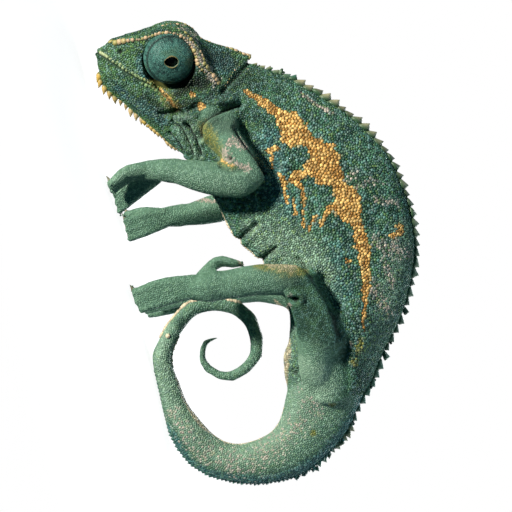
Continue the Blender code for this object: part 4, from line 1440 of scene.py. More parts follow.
class Hide:
    """The skin that stands for all the flesh, as arrays in millimetres while it is modelled."""

    VOXEL = 0.27
    SWELL = 0.19  # closes the space between neighbouring solids before they are joined
    DEPTH = 0.1  # the scales' thickness, by which the skin lies inside the solids
    ROUNDS = 90
    SLACK = 0.4  # how deep the body's folds are on the right side, against the left
    THROAT = 0.7  # how far from the middle the lower jaw is smoothed as one with the throat
    UNEVEN_PITCH = 0.045  # how much the spaces between the trunk's scales wander
    LIP_GAP = 0.16  # the mouth's line and the nostrils stay bare of scales
    NOSTRIL_GAP = 0.3

    def __init__(self, head: HeadAxes) -> None:
        """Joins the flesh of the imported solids.

        Args:
            head: the head's frame.
        """
        self.head = head
        self.names = list(FLESH)
        self.mesh = self.joined()
        self.load()
        self.kinds = self.nearest_flesh()

    def joined(self) -> Mesh:
        """One closed mesh from the swollen flesh, with its pieces kept for reference.

        Returns:
            The mesh.
        """
        whole = bmesh.new()
        self.owners = []
        for number, name in enumerate(self.names):
            shape = shaped(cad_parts[name].data)
            bmesh.ops.remove_doubles(shape, verts=shape.verts, dist=0.001 * MM)
            shape.normal_update()
            for vert in shape.verts:
                vert.co += vert.normal * self.SWELL * MM
            part = settled(shape, name)
            self.owners += [number] * len(part.polygons)
            whole.from_mesh(part)
            bpy.data.meshes.remove(part)
        self.reference = BVHTree.FromBMesh(whole)
        source = settled(whole, "swollen_flesh")
        return modified(source, "REMESH", mode="VOXEL", voxel_size=self.VOXEL * MM)

    def load(self) -> None:
        """Reads the mesh into arrays."""
        self.points = read(self.mesh.vertices, "co", 3) / MM
        self.edges = read(self.mesh.edges, "vertices", 2, int)
        self.degree = np.bincount(self.edges.ravel(), minlength=len(self.points))

    def save(self) -> None:
        """Writes the points back and works out the normals."""
        self.mesh.vertices.foreach_set("co", (self.points * MM).astype(np.float32).ravel())
        self.mesh.update()

    def normals(self) -> Array:
        """The normal at each point."""
        self.save()
        return read(self.mesh.vertex_normals, "vector", 3)

    def nearest_flesh(self) -> Array:
        """The number of the solid that each point was made from."""
        found = (self.reference.find_nearest(Vector(p) * MM)[2] for p in self.points.tolist())
        return np.array([self.owners[face] for face in found])

    def averaged(self, values: Array) -> Array:
        """Each point's mean over its neighbours.

        Args:
            values: a number or a row for each point.

        Returns:
            The means, in the same form.
        """
        a, b = self.edges.T
        columns = values.reshape(len(values), -1)
        total = np.empty_like(columns)
        size = len(columns)
        for k, column in enumerate(columns.T):
            total[:, k] = np.bincount(a, column[b], size) + np.bincount(b, column[a], size)
        return (total / self.degree[:, None]).reshape(values.shape)

    def spread(self, values: Array, share: Array | float, rounds: int) -> Array:
        """Values evened out over the surface.

        Args:
            values: a number or a row for each point.
            share: how far each point goes to its neighbours' mean in a round.
            rounds: how often.

        Returns:
            The evened values.
        """
        for _ in range(rounds):
            values = values + share * (self.averaged(values) - values)
        return values

    def per_point(self, name: str) -> Array:
        """One of the flesh's numbers at every point, blended where two solids meet."""
        table = np.array([getattr(FLESH[node], name) for node in self.names], float)
        return self.spread(table[self.kinds], 0.5, 12)

    def coat_mask(self, coats: Sequence[Coat]) -> Array:
        """1 where a point belongs to one of the coats, softened at the edges."""
        fits = np.array([FLESH[node].coat in coats for node in self.names], float)
        return self.spread(fits[self.kinds], 0.5, 4)

    def flat_places(self, on_head: bool = False) -> Array:
        """Each point's place in side view: x and z, or forward and up on the head."""
        points = self.head.from_model(self.points) if on_head else self.points
        return points[:, [0, 2]]

    def soften(self) -> None:
        """Smooths the facets, spikes and joints away, then gives back the lost fullness."""
        reach = self.per_point("soften")
        jaw = self.kinds == self.names.index("lower_jaw")
        reach[jaw & (np.abs(self.head.from_model(self.points)[:, 1]) < self.THROAT)] = 1.0
        share = np.clip(2 * reach**2 / (self.VOXEL**2 * self.ROUNDS), 0, 0.9)[:, None]
        start = self.points
        soft = self.spread(start, share, self.ROUNDS)
        lost = self.spread(start - soft, share, 2 * self.ROUNDS)
        self.points = soft + lost
        self.points = self.points - self.normals() * (self.SWELL + self.DEPTH)

    def refine_head(self) -> None:
        """Divides the head's faces once more, for its finer modelling."""
        self.save()
        shape = shaped(self.mesh)
        heads = [self.names.index("head"), self.names.index("lower_jaw")]
        chosen = [e for e in shape.edges if all(self.kinds[v.index] in heads for v in e.verts)]
        bmesh.ops.subdivide_edges(shape, edges=chosen, cuts=1, use_grid_fill=True)
        bmesh.ops.triangulate(shape, faces=[f for f in shape.faces if len(f.verts) > 4])
        self.mesh = settled(shape, "hide")
        self.load()
        self.kinds = self.nearest_flesh()
        on_head = np.isin(self.kinds, heads).astype(float)
        self.points = self.spread(self.points, 0.5 * on_head[:, None], 3)

    def even_out(self) -> None:
        """Smooths the joints that would still show on the body."""
        body = self.coat_mask((*BODY_COATS, Coat.LEGS))
        for path, reach in EVENED:
            gap, _ = distance_along(self.flat_places(), smooth_path(path, 2))
            share = 0.6 * ramp(-gap, -reach, -0.5 * reach) * body
            self.points = self.spread(self.points, share[:, None], self.ROUNDS)

    def darken(self, amount: Array) -> None:
        """Deepens the painted shade where it is less than an amount."""
        self.tones[Tone.GLOOM] = np.maximum(self.tones[Tone.GLOOM], amount)

    def fold(self) -> None:
        """Presses the creases in, raises the ridges and makes the nostrils, with painted shade
        along the creases and in the nostrils.
        """
        self.tones = {tone: np.zeros(len(self.points)) for tone in Tone}
        push = np.zeros(len(self.points))
        slack = self.spread(np.where(self.points[:, 1] > 0, self.SLACK, 1.0), 0.5, 12)
        for crease in FOLDS:
            gap, _ = distance_along(self.flat_places(crease.on_head), smooth_path(crease.path, 2))
            mask = self.coat_mask(crease.coats)
            if not crease.on_head:
                mask = mask * slack
            shoulder = bell(gap - 2.1 * crease.width, crease.width)
            push -= crease.depth * (bell(gap, crease.width) - 0.35 * shoulder) * mask
            # Painted shade along the crease.
            self.darken(crease.gloom * bell(gap, 0.8 * crease.width) * mask)
        mask = self.coat_mask(HEAD_ONLY)
        gap = np.linalg.norm(self.flat_places(True) - NOSTRIL, axis=1)
        for reach, depth in NOSTRIL_RINGS:
            push -= depth * bell(gap, reach) * mask
        # Painted shade in the nostrils.
        self.darken(bell(gap, 0.3) * mask)
        self.points = self.points + self.normals() * push[:, None]

    def mark(self) -> None:
        """Lays every marking, and the painted shade among the marks, on the skin."""
        ragged = 0.6 * rough(self.points, 0.8) + 0.6 * rough(self.points, 2.2, seed=5.0)
        self.tones[Tone.SAGE] = self.per_point("sage")
        self.tones[Tone.TEAL] = self.per_point("teal")
        for mark in MARKS:
            places = self.flat_places(Coat.HEAD in mark.coats)
            mask = self.coat_mask(mark.coats)
            for stroke in mark.strokes:
                path = smooth_path(stroke, 3)
                gap, where = distance_along(places, path[:, :2])
                half = np.interp(where, np.arange(len(path)), path[:, 2])
                edge = gap / np.maximum(half, 0.05) + mark.ragged * ragged
                amount = mark.strength * ramp(-edge, -1.0 - mark.soft, -1.0 + mark.soft) * mask
                tones = self.tones[mark.tone]
                worn = mark.strength < 0
                self.tones[mark.tone] = tones * (1 + amount) if worn else np.maximum(tones, amount)
        self.tones[Tone.GLOOM] = np.clip(self.tones[Tone.GLOOM], 0, 1)

    def bare(self, under_eyes: float) -> Array:
        """Where no scale stands: under the turrets, in the mouth's line and the nostrils.

        Args:
            under_eyes: how far from the head's side axis the turrets cover the skin.

        Returns:
            True or False for each point.
        """
        local = self.head.from_model(self.points)
        flat = local[:, [0, 2]]
        on_head = self.coat_mask(HEAD_ONLY) > 0.5
        covered = (np.hypot(*flat.T) < under_eyes) & (np.abs(local[:, 1]) > 1.0)
        in_mouth = distance_along(flat, smooth_path(MOUTH, 2))[0] < self.LIP_GAP
        in_nostril = np.linalg.norm(flat - NOSTRIL, axis=1) < self.NOSTRIL_GAP
        return covered | on_head & (in_mouth | in_nostril)

    def finish(self, under_eyes: float) -> Mesh:
        """Stores the skin's markings and painted shade, its scale bands, its pitches and its coats.

        Args:
            under_eyes: how far the turrets cover the skin.

        Returns:
            The skin's mesh.
        """
        self.save()
        for tone, values in self.tones.items():
            note(self.mesh, tone.value, values)
        note(self.mesh, "even", self.coat_mask((*ARMS_ONLY, *LEGS_ONLY, *TAIL_COATS)))
        pitch = self.per_point("pitch")
        wander = rough(self.points, 0.9, seed=9.0) * self.coat_mask(TRUNK_ONLY)
        pitch = pitch + self.UNEVEN_PITCH * wander
        for tone, coats, change, start, end in COARSER:
            pitch = pitch + change * ramp(self.tones[tone] * self.coat_mask(coats), start, end)
        note(self.mesh, "pitch", pitch * MM)
        corners = [list(face.vertices) for face in self.mesh.polygons]
        on_face = np.array([pitch[c].mean() for c in corners])
        band = np.abs(on_face[:, None] - np.array(PITCHES)).argmin(axis=1)
        bare = self.bare(under_eyes)
        band[[bare[c].any() for c in corners]] = -1
        note(self.mesh, "band", band, "INT", "FACE")
        coats = list(Coat)
        kinds = np.array([coats.index(FLESH[node].coat) for node in self.names])[self.kinds]
        note(self.mesh, "coat", [kinds[c[0]] for c in corners], "INT", "FACE")
        for face in self.mesh.polygons:
            face.use_smooth = True
        return self.mesh


# ------------ pieces on the skin


def show(name: str, mesh: Mesh, finish: Material) -> Piece:
    """Puts a finished mesh in the scene as a piece that rides on the animal.

    Args:
        name: the piece's name.
        mesh: its mesh, in place.
        finish: its material.

    Returns:
        The piece.
    """
    mesh.name = name
    mesh.materials.clear()
    mesh.materials.append(finish)
    mesh.polygons.foreach_set("material_index", np.zeros(len(mesh.polygons), np.int32))
    piece = stand(name, mesh)
    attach(piece, "root")
    mesh.calc_loop_triangles()
    LOG.info("%s: %d triangles", name, len(mesh.loop_triangles))
    return piece


PEBBLED = HideFinish("pebbled_scales")
POLISHED = HideFinish(
    "head_scales", leaf=(0.095, 0.235, 0.08), height=0.4, uneven=0.24, pale=0.12, base_shade=0.34
)
FINE = HideFinish(
    "fine_scales", height=0.28, uneven=0.07, pale=0.03, variety=0.15, base_shade=0.76, roughness=0.5
)
SPECKLED = HideFinish(
    "tail_scales",
    height=0.28,
    uneven=0.2,
    pale=0.16,
    variety=0.35,
    base_shade=0.62,
    roughness=0.45,
)
SCALE_LOOKS = {
    Coat.HEAD: POLISHED,
    Coat.NECK: PEBBLED,
    Coat.TRUNK: PEBBLED,
    Coat.TAIL_BASE: SPECKLED,
    Coat.TAIL: SPECKLED,
    Coat.ARMS: FINE,
    Coat.LEGS: FINE,
}


@dataclass
class ScaleCoat:
    """The small domed scales over the whole skin, joined into one or two pieces a Coat."""

    hide: Mesh
    sides: int = 6
    paired: tuple[Coat, ...] = (Coat.TRUNK, Coat.ARMS, Coat.LEGS)  # one piece for each side
    tree: ScaleTree = field(default_factory=ScaleTree)
    roots: RootTree = field(default_factory=RootTree)

    def build(self) -> None:
        """Scatters the roots once, then grows each piece of the coat on its own roots."""
        roots = self.roots.grow("scale_roots", self.hide)
        places = read(roots.vertices, "co", 3)
        LOG.info("%d scales", len(places))
        coats = self.coats_at(places)
        finishes = {look: look.dress() for look in dict.fromkeys(SCALE_LOOKS.values())}
        seeds = count()
        for number, (coat, look) in enumerate(SCALE_LOOKS.items()):
            for side in Side if coat in self.paired else (None,):
                keep = coats == number
                name = "scales_" + coat.value
                if side:
                    keep &= places[:, 1] * side.value > 0
                    name += "_" + side.name.lower()
                inputs = {"Height": look.height, "Sides": self.sides, "Seed": next(seeds)}
                finish = finishes[look]
                mesh = self.tree.grow(name, self.only(roots, keep), Finish=finish, **inputs)
                show(name, mesh, finish)

    def coats_at(self, places: Array) -> Array:
        """The number of the coat that each place belongs to."""
        kinds = read(self.hide.attributes["coat"].data, "value", 1, int)[:, 0]
        surface = surface_of(self.hide)
        return np.array([kinds[surface.find_nearest(Vector(p))[2]] for p in places.tolist()])

    def only(self, roots: Mesh, keep: Array) -> Mesh:
        """A copy of the roots with only some of them.

        Args:
            roots: the roots.
            keep: whether each one stays.

        Returns:
            The copy.
        """
        shape = shaped(roots)
        gone = [vert for vert, kept in zip(shape.verts, keep) if not kept]
        bmesh.ops.delete(shape, geom=gone, context="VERTS")
        return settled(shape, "roots")


@dataclass
class Row:
    """A row of spines or beads along a few places on the skin."""

    path: Array
    tree: StandingTree
    sizes: Pair
    spacing: float
    height: float
    uneven: float
    sink: float
    seed: int = 3
    lean: Place = (0.0, 0.0, 0.0)
    extra: dict[str, float] = field(default_factory=dict)

    def mesh(self, rooting: RowTree, skin: Piece, finish: Material) -> Mesh:
        """Grows the row.

        Args:
            rooting: what sets its roots.
            skin: what it stands on.
            finish: its material.

        Returns:
            The row's mesh.
        """
        line = bpy.data.meshes.new("line")
        links = [(k, k + 1) for k in range(len(self.path) - 1)]
        line.from_pydata([tuple(p * MM) for p in self.path], links, [])
        roots = rooting.grow("roots", line, Skin=skin, Step=self.spacing * MM, Lean=self.lean)
        inputs = {"First_size": self.sizes[0] * MM, "Last_size": self.sizes[1] * MM}
        inputs |= {"Height": self.height, "Uneven": self.uneven, "Sink": self.sink}
        return self.tree.grow("row", roots, Seed=self.seed, Finish=finish, **inputs, **self.extra)


# The strands of beads on the head's ridges: the places in the head's frame, the first and
# last bead's width and the spacing. Those off the middle are on both sides.
STRANDS = (
    ((8.7, 1.6, 2.7, 7.2, 2.2, 3.1, 5.8, 2.8, 3.4, 4.7, 3.2, 3.6), (0.74, 0.68), 0.64),
    (
        (4.4, 3.3, 3.6, 3.0, 3.9, 4.0, 1.0, 4.4, 4.6, -1.0, 4.5, 4.5, -2.8, 4.4, 3.6),
        (0.62, 0.56),
        0.52,
    ),
    ((-1.4, 4.0, 5.0, -2.8, 4.2, 4.1, -3.9, 4.3, 2.7), (0.5, 0.56), 0.5),
    ((1.6, 2.6, 5.8, 0.0, 2.6, 5.9, -1.6, 2.6, 5.4), (0.46, 0.5), 0.62),
    ((-3.2, 4.3, 2.9, -4.0, 4.4, 1.5, -4.3, 4.4, 0.0, -5.3, 4.3, -1.2), (0.6, 0.58), 0.52),
    ((-4.5, 4.3, 1.7, -5.0, 4.3, 0.0, -6.2, 4.1, -1.5, -7.2, 3.8, -2.9), (0.56, 0.8), 0.58),
    ((8.6, 0, 3.1, 9.6, 0, 2.6), (0.5, 0.5), 0.5),
    ((-4.6, 0, 3.4, -7.1, 0, 2.5, -8.9, 0, 1.8), (0.4, 0.46), 0.42),
    ((-9.2, 0, 1.7, -10.6, 0, 1.0, -12.2, 0, 0.5), (0.66, 0.76), 0.56),
    ((-12.0, 2.0, 0.0, -10.3, 2.6, -0.4, -9.3, 3.0, -2.0, -8.0, 3.2, -3.4), (0.26, 0.34), 0.62),
)
CHIN_FRONT = ((11.0, 0, -2.2), (10.3, 0, -3.3), (8.8, 0, -5.1), (6.6, 0, -7.1), (4.6, 0, -8.9))
CHIN_REAR = ((4.2, 0, -9.3), (2.0, 0, -11.6), (0.2, 0, -13.2), (-1.4, 0, -14.2))


@dataclass
class Rows:
    """Every row of spines and beads: crest, chin, brows, casque, lips, belly and tail."""

    skin: Piece
    head: HeadAxes
    surface: BVHTree
    coil: Pair = (14.0, 10.4)  # x and z of the middle of the tail's coil
    loop: Pair = (21.6, 11.6)  # x and z of the middle of the tail's open loop
    outside: float = 60.0  # a distance from the coil that is clear of the animal
    rooting: RowTree = field(default_factory=RowTree)
    spines: SpineTree = field(default_factory=SpineTree)
    domes: DomeTree = field(default_factory=DomeTree)

    def hits(self, rays: Sequence[tuple[Vector, Vector]]) -> Array:
        """Where rays first meet the skin, in millimetres."""
        found = (self.surface.ray_cast(start * MM, way)[0] for start, way in rays)
        return np.array([hit / MM for hit in found if hit])

    def ring_line(
        self, first: float, last: float, steps: int, y: float = 0.0, inner: bool = False
    ) -> Array:
        """The line along the back, or along the inside of the tail's open loop.

        Args:
            first: the angle at which it starts, in degrees about the coil or the loop.
            last: the angle at which it ends.
            steps: how many places it is found at.
            y: how far to the side it runs.
            inner: whether it is the loop's inside.

        Returns:
            The line's places as rows.
        """
        x, z = self.loop if inner else self.coil
        middle = Vector((x, y, z))
        angles = np.radians(np.linspace(first, last, steps))
        ways = [Vector((math.cos(angle), 0.0, math.sin(angle))) for angle in angles]
        if inner:
            return self.hits([(middle, way) for way in ways])
        return self.hits([(middle + way * self.outside, -way) for way in ways])

    def on_head(self, numbers: Sequence, side: Side | None = None) -> Array:
        """A curve through places of the head's frame, given for its left side.

        Args:
            numbers: the places' coordinates.
            side: the side that the curve is on, if it isn't the middle.

        Returns:
            The curve's places in the model's frame, as rows.
        """
        sign = -side.value if side else 1.0
        curve = smooth_path(numbers, 3)
        return np.array([self.head.to_model((f, sign * s, h)) for f, s, h in curve])

    def piece(self, name: str, finish: HornFinish, rows: Sequence[Row]) -> None:
        """Grows rows that share a finish as one piece.

        Args:
            name: the piece's name.
            finish: its finish.
            rows: the rows.
        """
        material = finish.dress()
        meshes = [row.mesh(self.rooting, self.skin, material) for row in rows]
        show(name, settled(shaped(*meshes), name), material)

    def crest(self) -> None:
        """The leaning spines along the nape, the back and the hip."""
        warm = HornFinish(
            "crest_spines", (0.05, 0.12, 0.06), (0.52, 0.48, 0.3), (0.05, 0.85), (0.11, 0.28, 0.2)
        )
        shape = {"Bend": 0.3, "Flatten": 0.72, "Bulge": 0.5, "Sides": 8}
        low = shape | {"Bend": 0.16, "Bulge": 0.3}
        nape, back = self.ring_line(160, 152, 12), self.ring_line(150.5, 47, 90)
        hip = self.ring_line(46, 26, 30)
        rows = (
            Row(nape, self.spines, (0.75, 1.45), 0.95, 0.7, 0.16, 0.14, seed=5, extra=shape),
            Row(back, self.spines, (1.8, 1.45), 1.5, 0.62, 0.16, 0.14, extra=shape),
            Row(hip, self.spines, (1.2, 0.8), 0.98, 0.95, 0.2, 0.18, extra=low),
        )
        self.piece("crest", warm, rows)

    def tail_tubercles(self) -> None:
        """Small pointed tubercles along the outer edge of the tail, in three lines."""
        finish = HornFinish("tail_tubercles", (0.02, 0.085, 0.075), (0.13, 0.3, 0.24), (0.1, 0.9))
        shape = {"Bend": 0.3, "Flatten": 0.9, "Bulge": 0.3, "Sides": 7}
        sizes = (0.72, 0.5)
        rows = []
        for seed, (start, y) in enumerate(((25, 0.0), (40, -0.6), (40, 0.6))):
            path = self.ring_line(start, -84, 80, y)
            row = Row(path, self.spines, sizes, 0.62, 0.62, 0.25, 0.2, seed=seed, extra=shape)
            rows.append(row)
        self.piece("tail_tubercles", finish, rows)

    def chin(self) -> None:
        """The yellow cones under the chin, shorter towards the throat."""
        finish = HornFinish(
            "chin_spines", (0.2, 0.19, 0.06), (0.62, 0.43, 0.11), (0.0, 0.35), (0.6, 0.47, 0.27)
        )
        down = tuple(self.head.turn @ Vector((-0.15, 0.0, -1.5)))
        rows = []
        for points, sizes, step, height, uneven, bulge in (
            (CHIN_FRONT, (0.78, 0.7), 1.0, 1.65, 0.2, 0.75),
            (CHIN_REAR, (0.74, 0.66), 0.66, 1.0, 0.25, 0.9),
        ):
            shape = {"Bend": 0.1, "Flatten": 0.9, "Bulge": bulge}
            path = self.on_head(points)
            row = Row(path, self.spines, sizes, step, height, uneven, 0.15, lean=down, extra=shape)
            rows.append(row)
        self.piece("chin_spines", finish, rows)

    def brows(self) -> None:
        """The pale beads on the brow and temple ridges and along the casque."""
        finish = HornFinish(
            "ridge_beads",
            (0.12, 0.16, 0.06),
            (0.56, 0.41, 0.26),
            (0.0, 0.6),
            fleck=(0.36, 0.34, 0.12),
        )
        rows = []
        for points, sizes, spacing in STRANDS:
            middle = not any(points[1::3])
            for side in (None,) if middle else Side:
                path = self.on_head(points, side)
                rows.append(Row(path, self.domes, sizes, spacing, 0.46, 0.38, 0.0, seed=len(rows)))
        self.piece("ridge_beads", finish, rows)

    def lips(self) -> None:
        """The larger scales above and below the mouth, pale only towards the snout."""
        finish = HornFinish(
            "lip_scales", (0.05, 0.12, 0.05), (0.42, 0.5, 0.28), (0.0, 0.6), (0.11, 0.24, 0.09)
        )
        lips = tuple(zip(MOUTH[::2], MOUTH[1::2]))
        rows = []
        for seed, side in enumerate(Side):
            for above, size in ((0.33, 0.44), (-0.36, 0.48)):
                path = self.on_head([(f - 0.25 * above, 3.2, h + above) for f, h in lips], side)
                sizes = (size, size * 1.15)
                rows.append(Row(path, self.domes, sizes, size * 1.25, 0.38, 0.3, 0.05, seed=seed))
        self.piece("lip_scales", finish, rows)

    def underside(self) -> None:
        """The cream beads along the belly's middle and inside the tail's loop."""
        finish = HornFinish("belly_beads", (0.3, 0.27, 0.18), (0.76, 0.66, 0.48), (0.0, 0.6))
        up = Vector((0.0, 0.0, 1.0))
        belly = self.hits([(Vector((x, 0.0, 2.0)), up) for x in np.linspace(-14.0, 15.0, 50)])
        loop = self.ring_line(62, -118, 70, inner=True)
        rows = (
            Row(belly, self.domes, (0.62, 0.7), 0.46, 0.75, 0.2, 0.0),
            Row(loop, self.domes, (0.42, 0.36), 0.34, 0.6, 0.2, 0.1, seed=4),
        )
        self.piece("belly_beads", finish, rows)

    def build(self) -> None:
        """Builds every row."""
        self.crest()
        self.tail_tubercles()
        self.chin()
        self.brows()
        self.lips()
        self.underside()


# ------------ eyes and claws


@dataclass
class Eye:
    """One eye: the lids' turret with its fine scales, the lids' rim and the eyeball."""

    side: Side
    head: HeadAxes
    radius: float = 3.92
    depth: float = 3.12
    offset: float = 3.3
    above: float = 0.84
    opening: Pair = (0.9, 0.76)
    corner: float = 0.26  # how far the opening is drawn out towards the snout
    lip: float = 0.16  # from the opening to where the dome's own curve starts
    lean: float = 0.22  # the dome's slope at the opening, in radians
    gaze_back: float = math.radians(10.5)
    gaze_down: float = math.radians(6.0)
    grooves: tuple[Place, ...] = ((3.5, 0.11, 0.16), (2.95, 0.12, 0.03))  # place, width, depth
    around: int = 96
    rings: int = 42
    pitch: float = 0.17  # the least space between the lids' scales
    clear: float = 1.35  # how far from the gaze's axis the lids' scales start
    ball: float = 1.0

    def placing(self) -> Matrix:
        """From the turret's frame, +Z its gaze and +X towards the snout, to the model's.

        Returns:
            The change of frame, in millimetres.
        """
        sign = -self.side.value
        gaze = Vector((-math.sin(self.gaze_back), sign, -math.sin(self.gaze_down))).normalized()
        ahead = (Vector((1, 0, 0)) - gaze * gaze.x).normalized()
        turn = Matrix((ahead, gaze.cross(ahead), gaze)).transposed()
        middle = self.head.to_model((0.0, sign * self.offset, self.above))
        return Matrix.Translation(middle) @ (self.head.turn @ turn).to_4x4()

    def lid(self, angle: float) -> float:
        """The radius of the lids' opening at an angle from the snout's direction."""
        a, b = self.opening
        plain = 1 / math.hypot(math.cos(angle) / a, math.sin(angle) / b)
        return plain + self.corner * max(0.0, math.cos(angle)) ** 8

    def dome(self, reach: float, angle: float) -> Place:
        """A place on the dome.

        Args:
            reach: from 0 at the opening's rim to 1 at the widest ring.
            angle: the angle from the snout's direction.

        Returns:
            Its radius and height.
        """
        lean = self.lean + (math.pi / 2 + 0.05 - self.lean) * reach
        radius, height = self.radius * math.sin(lean), self.depth * math.cos(lean)
        near = bell(reach, 0.16)
        radius = radius * (1 - near) + (self.lid(angle) + self.lip + radius - 0.84) * near
        height += 0.06 * bell(reach, 0.07)
        for place, width, depth in self.grooves:
            height -= depth * bell(radius - place, width)
        return radius, height

    def turret(self) -> Mesh:
        """The lids' cone with its opening, closed behind.

        Returns:
            Its mesh.
        """
        top = self.depth - 0.18
        last = self.rings - 1
        profile = [
            lambda a: (0.0, top - 1.3),
            lambda a: (1.02, top - 1.28),
            lambda a: (1.05, top - 0.5),
            lambda a: (self.lid(a) * 1.02, top - 0.16),
            lambda a: (self.lid(a), top + 0.02),
            lambda a: (self.lid(a) + 0.07, top + 0.13),
            *((lambda a, reach=k / last: self.dome(reach, a)) for k in range(self.rings)),
            lambda a: (self.radius * 0.99, -0.9),
            lambda a: (self.radius * 0.9, -1.6),
            lambda a: (0.0, -1.7),
        ]
        return self.placed(revolve(profile, self.around), "turret")

    def placed(self, shape: Shape, kind: str) -> Mesh:
        """Turns a shape of the turret's frame into a mesh in place, with its streaks and its
        painted shade.

        Args:
            shape: the shape, in millimetres.
            kind: the mesh's name.

        Returns:
            The mesh.
        """
        mesh = settled(shape, kind)
        points = read(mesh.vertices, "co", 3)
        reach = np.hypot(points[:, 0], points[:, 1])
        way = points[:, :2] / np.maximum(reach, 1e-6)[:, None]
        note(mesh, "streak", np.column_stack([way * 6.0, reach * 0.55]), VECTOR)
        # Painted shade in the grooves, and on the dome's foot and back where it meets the head.
        groove = np.zeros(len(points))
        for place, width, depth in self.grooves:
            groove = np.maximum(groove, 9 * depth * bell(reach - place, width))
        note(mesh, "groove", np.clip(np.where(points[:, 2] < 0.1, 0.7, groove), 0, 0.85))
        note(mesh, "reach", reach)
        mesh.transform(Matrix.Diagonal((MM, MM, MM, 1.0)) @ self.placing())
        return mesh

    def scales(self, turret: Mesh, finish: Material) -> Mesh:
        """Fine flat scales over the turret's dome.

        Args:
            turret: the turret's mesh.
            finish: its material.

        Returns:
            The scales' mesh.
        """
        base = turret.copy()
        inverse = np.array(self.placing().inverted())
        points = read(base.vertices, "co", 3) / MM @ inverse[:3, :3].T + inverse[:3, 3]
        bare = (np.hypot(points[:, 0], points[:, 1]) < self.clear) | (points[:, 2] < 0.35)
        band = [-1 if any(bare[i] for i in face.vertices) else 0 for face in base.polygons]
        note(base, "band", band, "INT", "FACE")
        note(base, "pitch", np.full(len(points), self.pitch * MM))
        roots = RootTree().grow("turret_roots", base, Seed=11, Pitch_0=self.pitch * MM)
        inputs = {"Height": 0.16, "Sides": 6, "Sink": -0.1, "Finish": finish}
        return ScaleTree().grow("turret_scales", roots, **inputs)

    def rim(self) -> Mesh:
        """The pale fleshy rim of the lids, thinnest at its two corners.

        Returns:
            Its mesh.
        """
        rings = []
        for angle in turns(self.around):
            thick = 0.03 + 0.09 * math.sin(angle) ** 2
            inner = self.lid(angle) + 0.02
            ring = []
            for turn in turns(10):
                radius = inner + thick * (0.7 + math.cos(turn))
                height = self.depth - 0.04 + thick * math.sin(turn)
                ring.append((radius * math.cos(angle), radius * math.sin(angle), height))
            rings.append(ring)
        return self.placed(skinned(rings, loop=True), "rim")

    def eyeball(self) -> Mesh:
        """The rounded front of the eye, inside the turret.

        Returns:
            Its mesh.
        """
        places = []
        for k in range(17):
            lean = math.pi * k / 16
            places.append((self.ball * math.sin(lean), self.depth - 1.1 + 0.55 * math.cos(lean)))
        profile = [lambda a, place=place: place for place in places]
        return self.placed(revolve(profile, 40), "eyeball")

    def build(self, lids: Material, rim: Material, ball: Material) -> None:
        """Builds the eye's pieces.

        Args:
            lids: the turret's material.
            rim: the lids' rim's.
            ball: the eyeball's.
        """
        name = self.side.name.lower()
        mesh = self.turret()
        unwrap(mesh)
        turret = show(name + "_turret_skin", mesh, lids)
        show(name + "_turret_scales", self.scales(mesh, lids), lids)
        show(name + "_lid_rim", self.rim(), rim)
        eye = show(name + "_eye", self.eyeball(), ball)
        for piece, node in ((turret, name + "_eye_turret"), (eye, name + "_eyeball")):
            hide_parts(node)


@dataclass(frozen=True)
class Toes:
    """A bundle of toes: how many, the middle toe's tip, the step between them, the heading."""

    count: int
    tip: Place
    step: Place
    heading: Place


TOES = (
    Toes(2, (-13.1, -6.7, 0.55), (0.75, 1.35, 0.1), (-0.6, 0.0, 0.0)),
    Toes(3, (-10.8, -3.0, 0.55), (1.25, 0.25, 0.0), (-0.6, 0.3, 0.0)),
    Toes(2, (-8.3, 9.35, 0.55), (1.45, 0.2, 0.0), (-1.0, 0.3, 0.0)),
    Toes(3, (-6.6, 4.45, 0.55), (1.35, 0.2, 0.0), (-1.0, -0.2, 0.0)),
    Toes(3, (4.2, -8.2, 0.65), (1.3, 0.0, 0.35), (-0.8, 0.0, 0.0)),
    Toes(2, (2.0, -5.6, 15.8), (0.4, 1.0, 0.0), (0.3, 0.0, 0.95)),
    Toes(3, (5.3, 9.75, 0.55), (1.45, 0.1, 0.0), (-1.0, 0.1, 0.0)),
    Toes(2, (5.3, 5.55, 0.55), (1.45, 0.0, 0.0), (-1.0, 0.0, 0.0)),
)


@dataclass
class Claws:
    """The small hooked claws, one on every toe."""

    length: float = 1.15
    width: float = 0.3
    droop: float = 0.22
    toes: tuple[Toes, ...] = TOES

    def claw(self, base: Vector, heading: Vector) -> Shape:
        """One claw: a closed cone that hooks over at its tip.

        Args:
            base: the middle of its root.
            heading: the way that it points.

        Returns:
            The claw.
        """
        side = heading.cross(Vector((0, 0, 1)))
        side = side.normalized() if side.length > 0.1 else Vector((0, 1, 0))
        up = side.cross(heading)
        rings = []
        for t in (step / 6 for step in range(7)):
            middle = base + heading * self.length * t + up * (0.1 * t - self.droop * 2 * t * t)
            radius = self.width * (1 - t) ** 0.7 + 0.015
            round_it = (side * math.cos(angle) * 0.75 + up * math.sin(angle) for angle in turns(8))
            rings.append([(middle + way * radius) * MM for way in round_it])
        return skinned(rings)

    def build(self, finish: Material) -> None:
        """Builds every claw as one piece.

        Args:
            finish: its material.
        """
        parts = []
        for toes in self.toes:
            heading = Vector(toes.heading).normalized()
            for k in range(toes.count):
                shift = (k - (toes.count - 1) / 2) * Vector(toes.step)
                base = Vector(toes.tip) + shift + heading * 0.25
                parts.append(settled(self.claw(base, heading), "claw"))
        mesh = settled(shaped(*parts), "claws")
        note(mesh, "lift", np.clip(read(mesh.vertices, "co", 3)[:, 2] / MM, 0, 1))
        show("claws", mesh, finish)


# ------------ the studio


@dataclass(frozen=True)
class Lamp:
    """A soft round light: where it stands, its size and power, and its warmth."""

    name: str
    place: Place
    size: float
    power: float
    colour: Colour


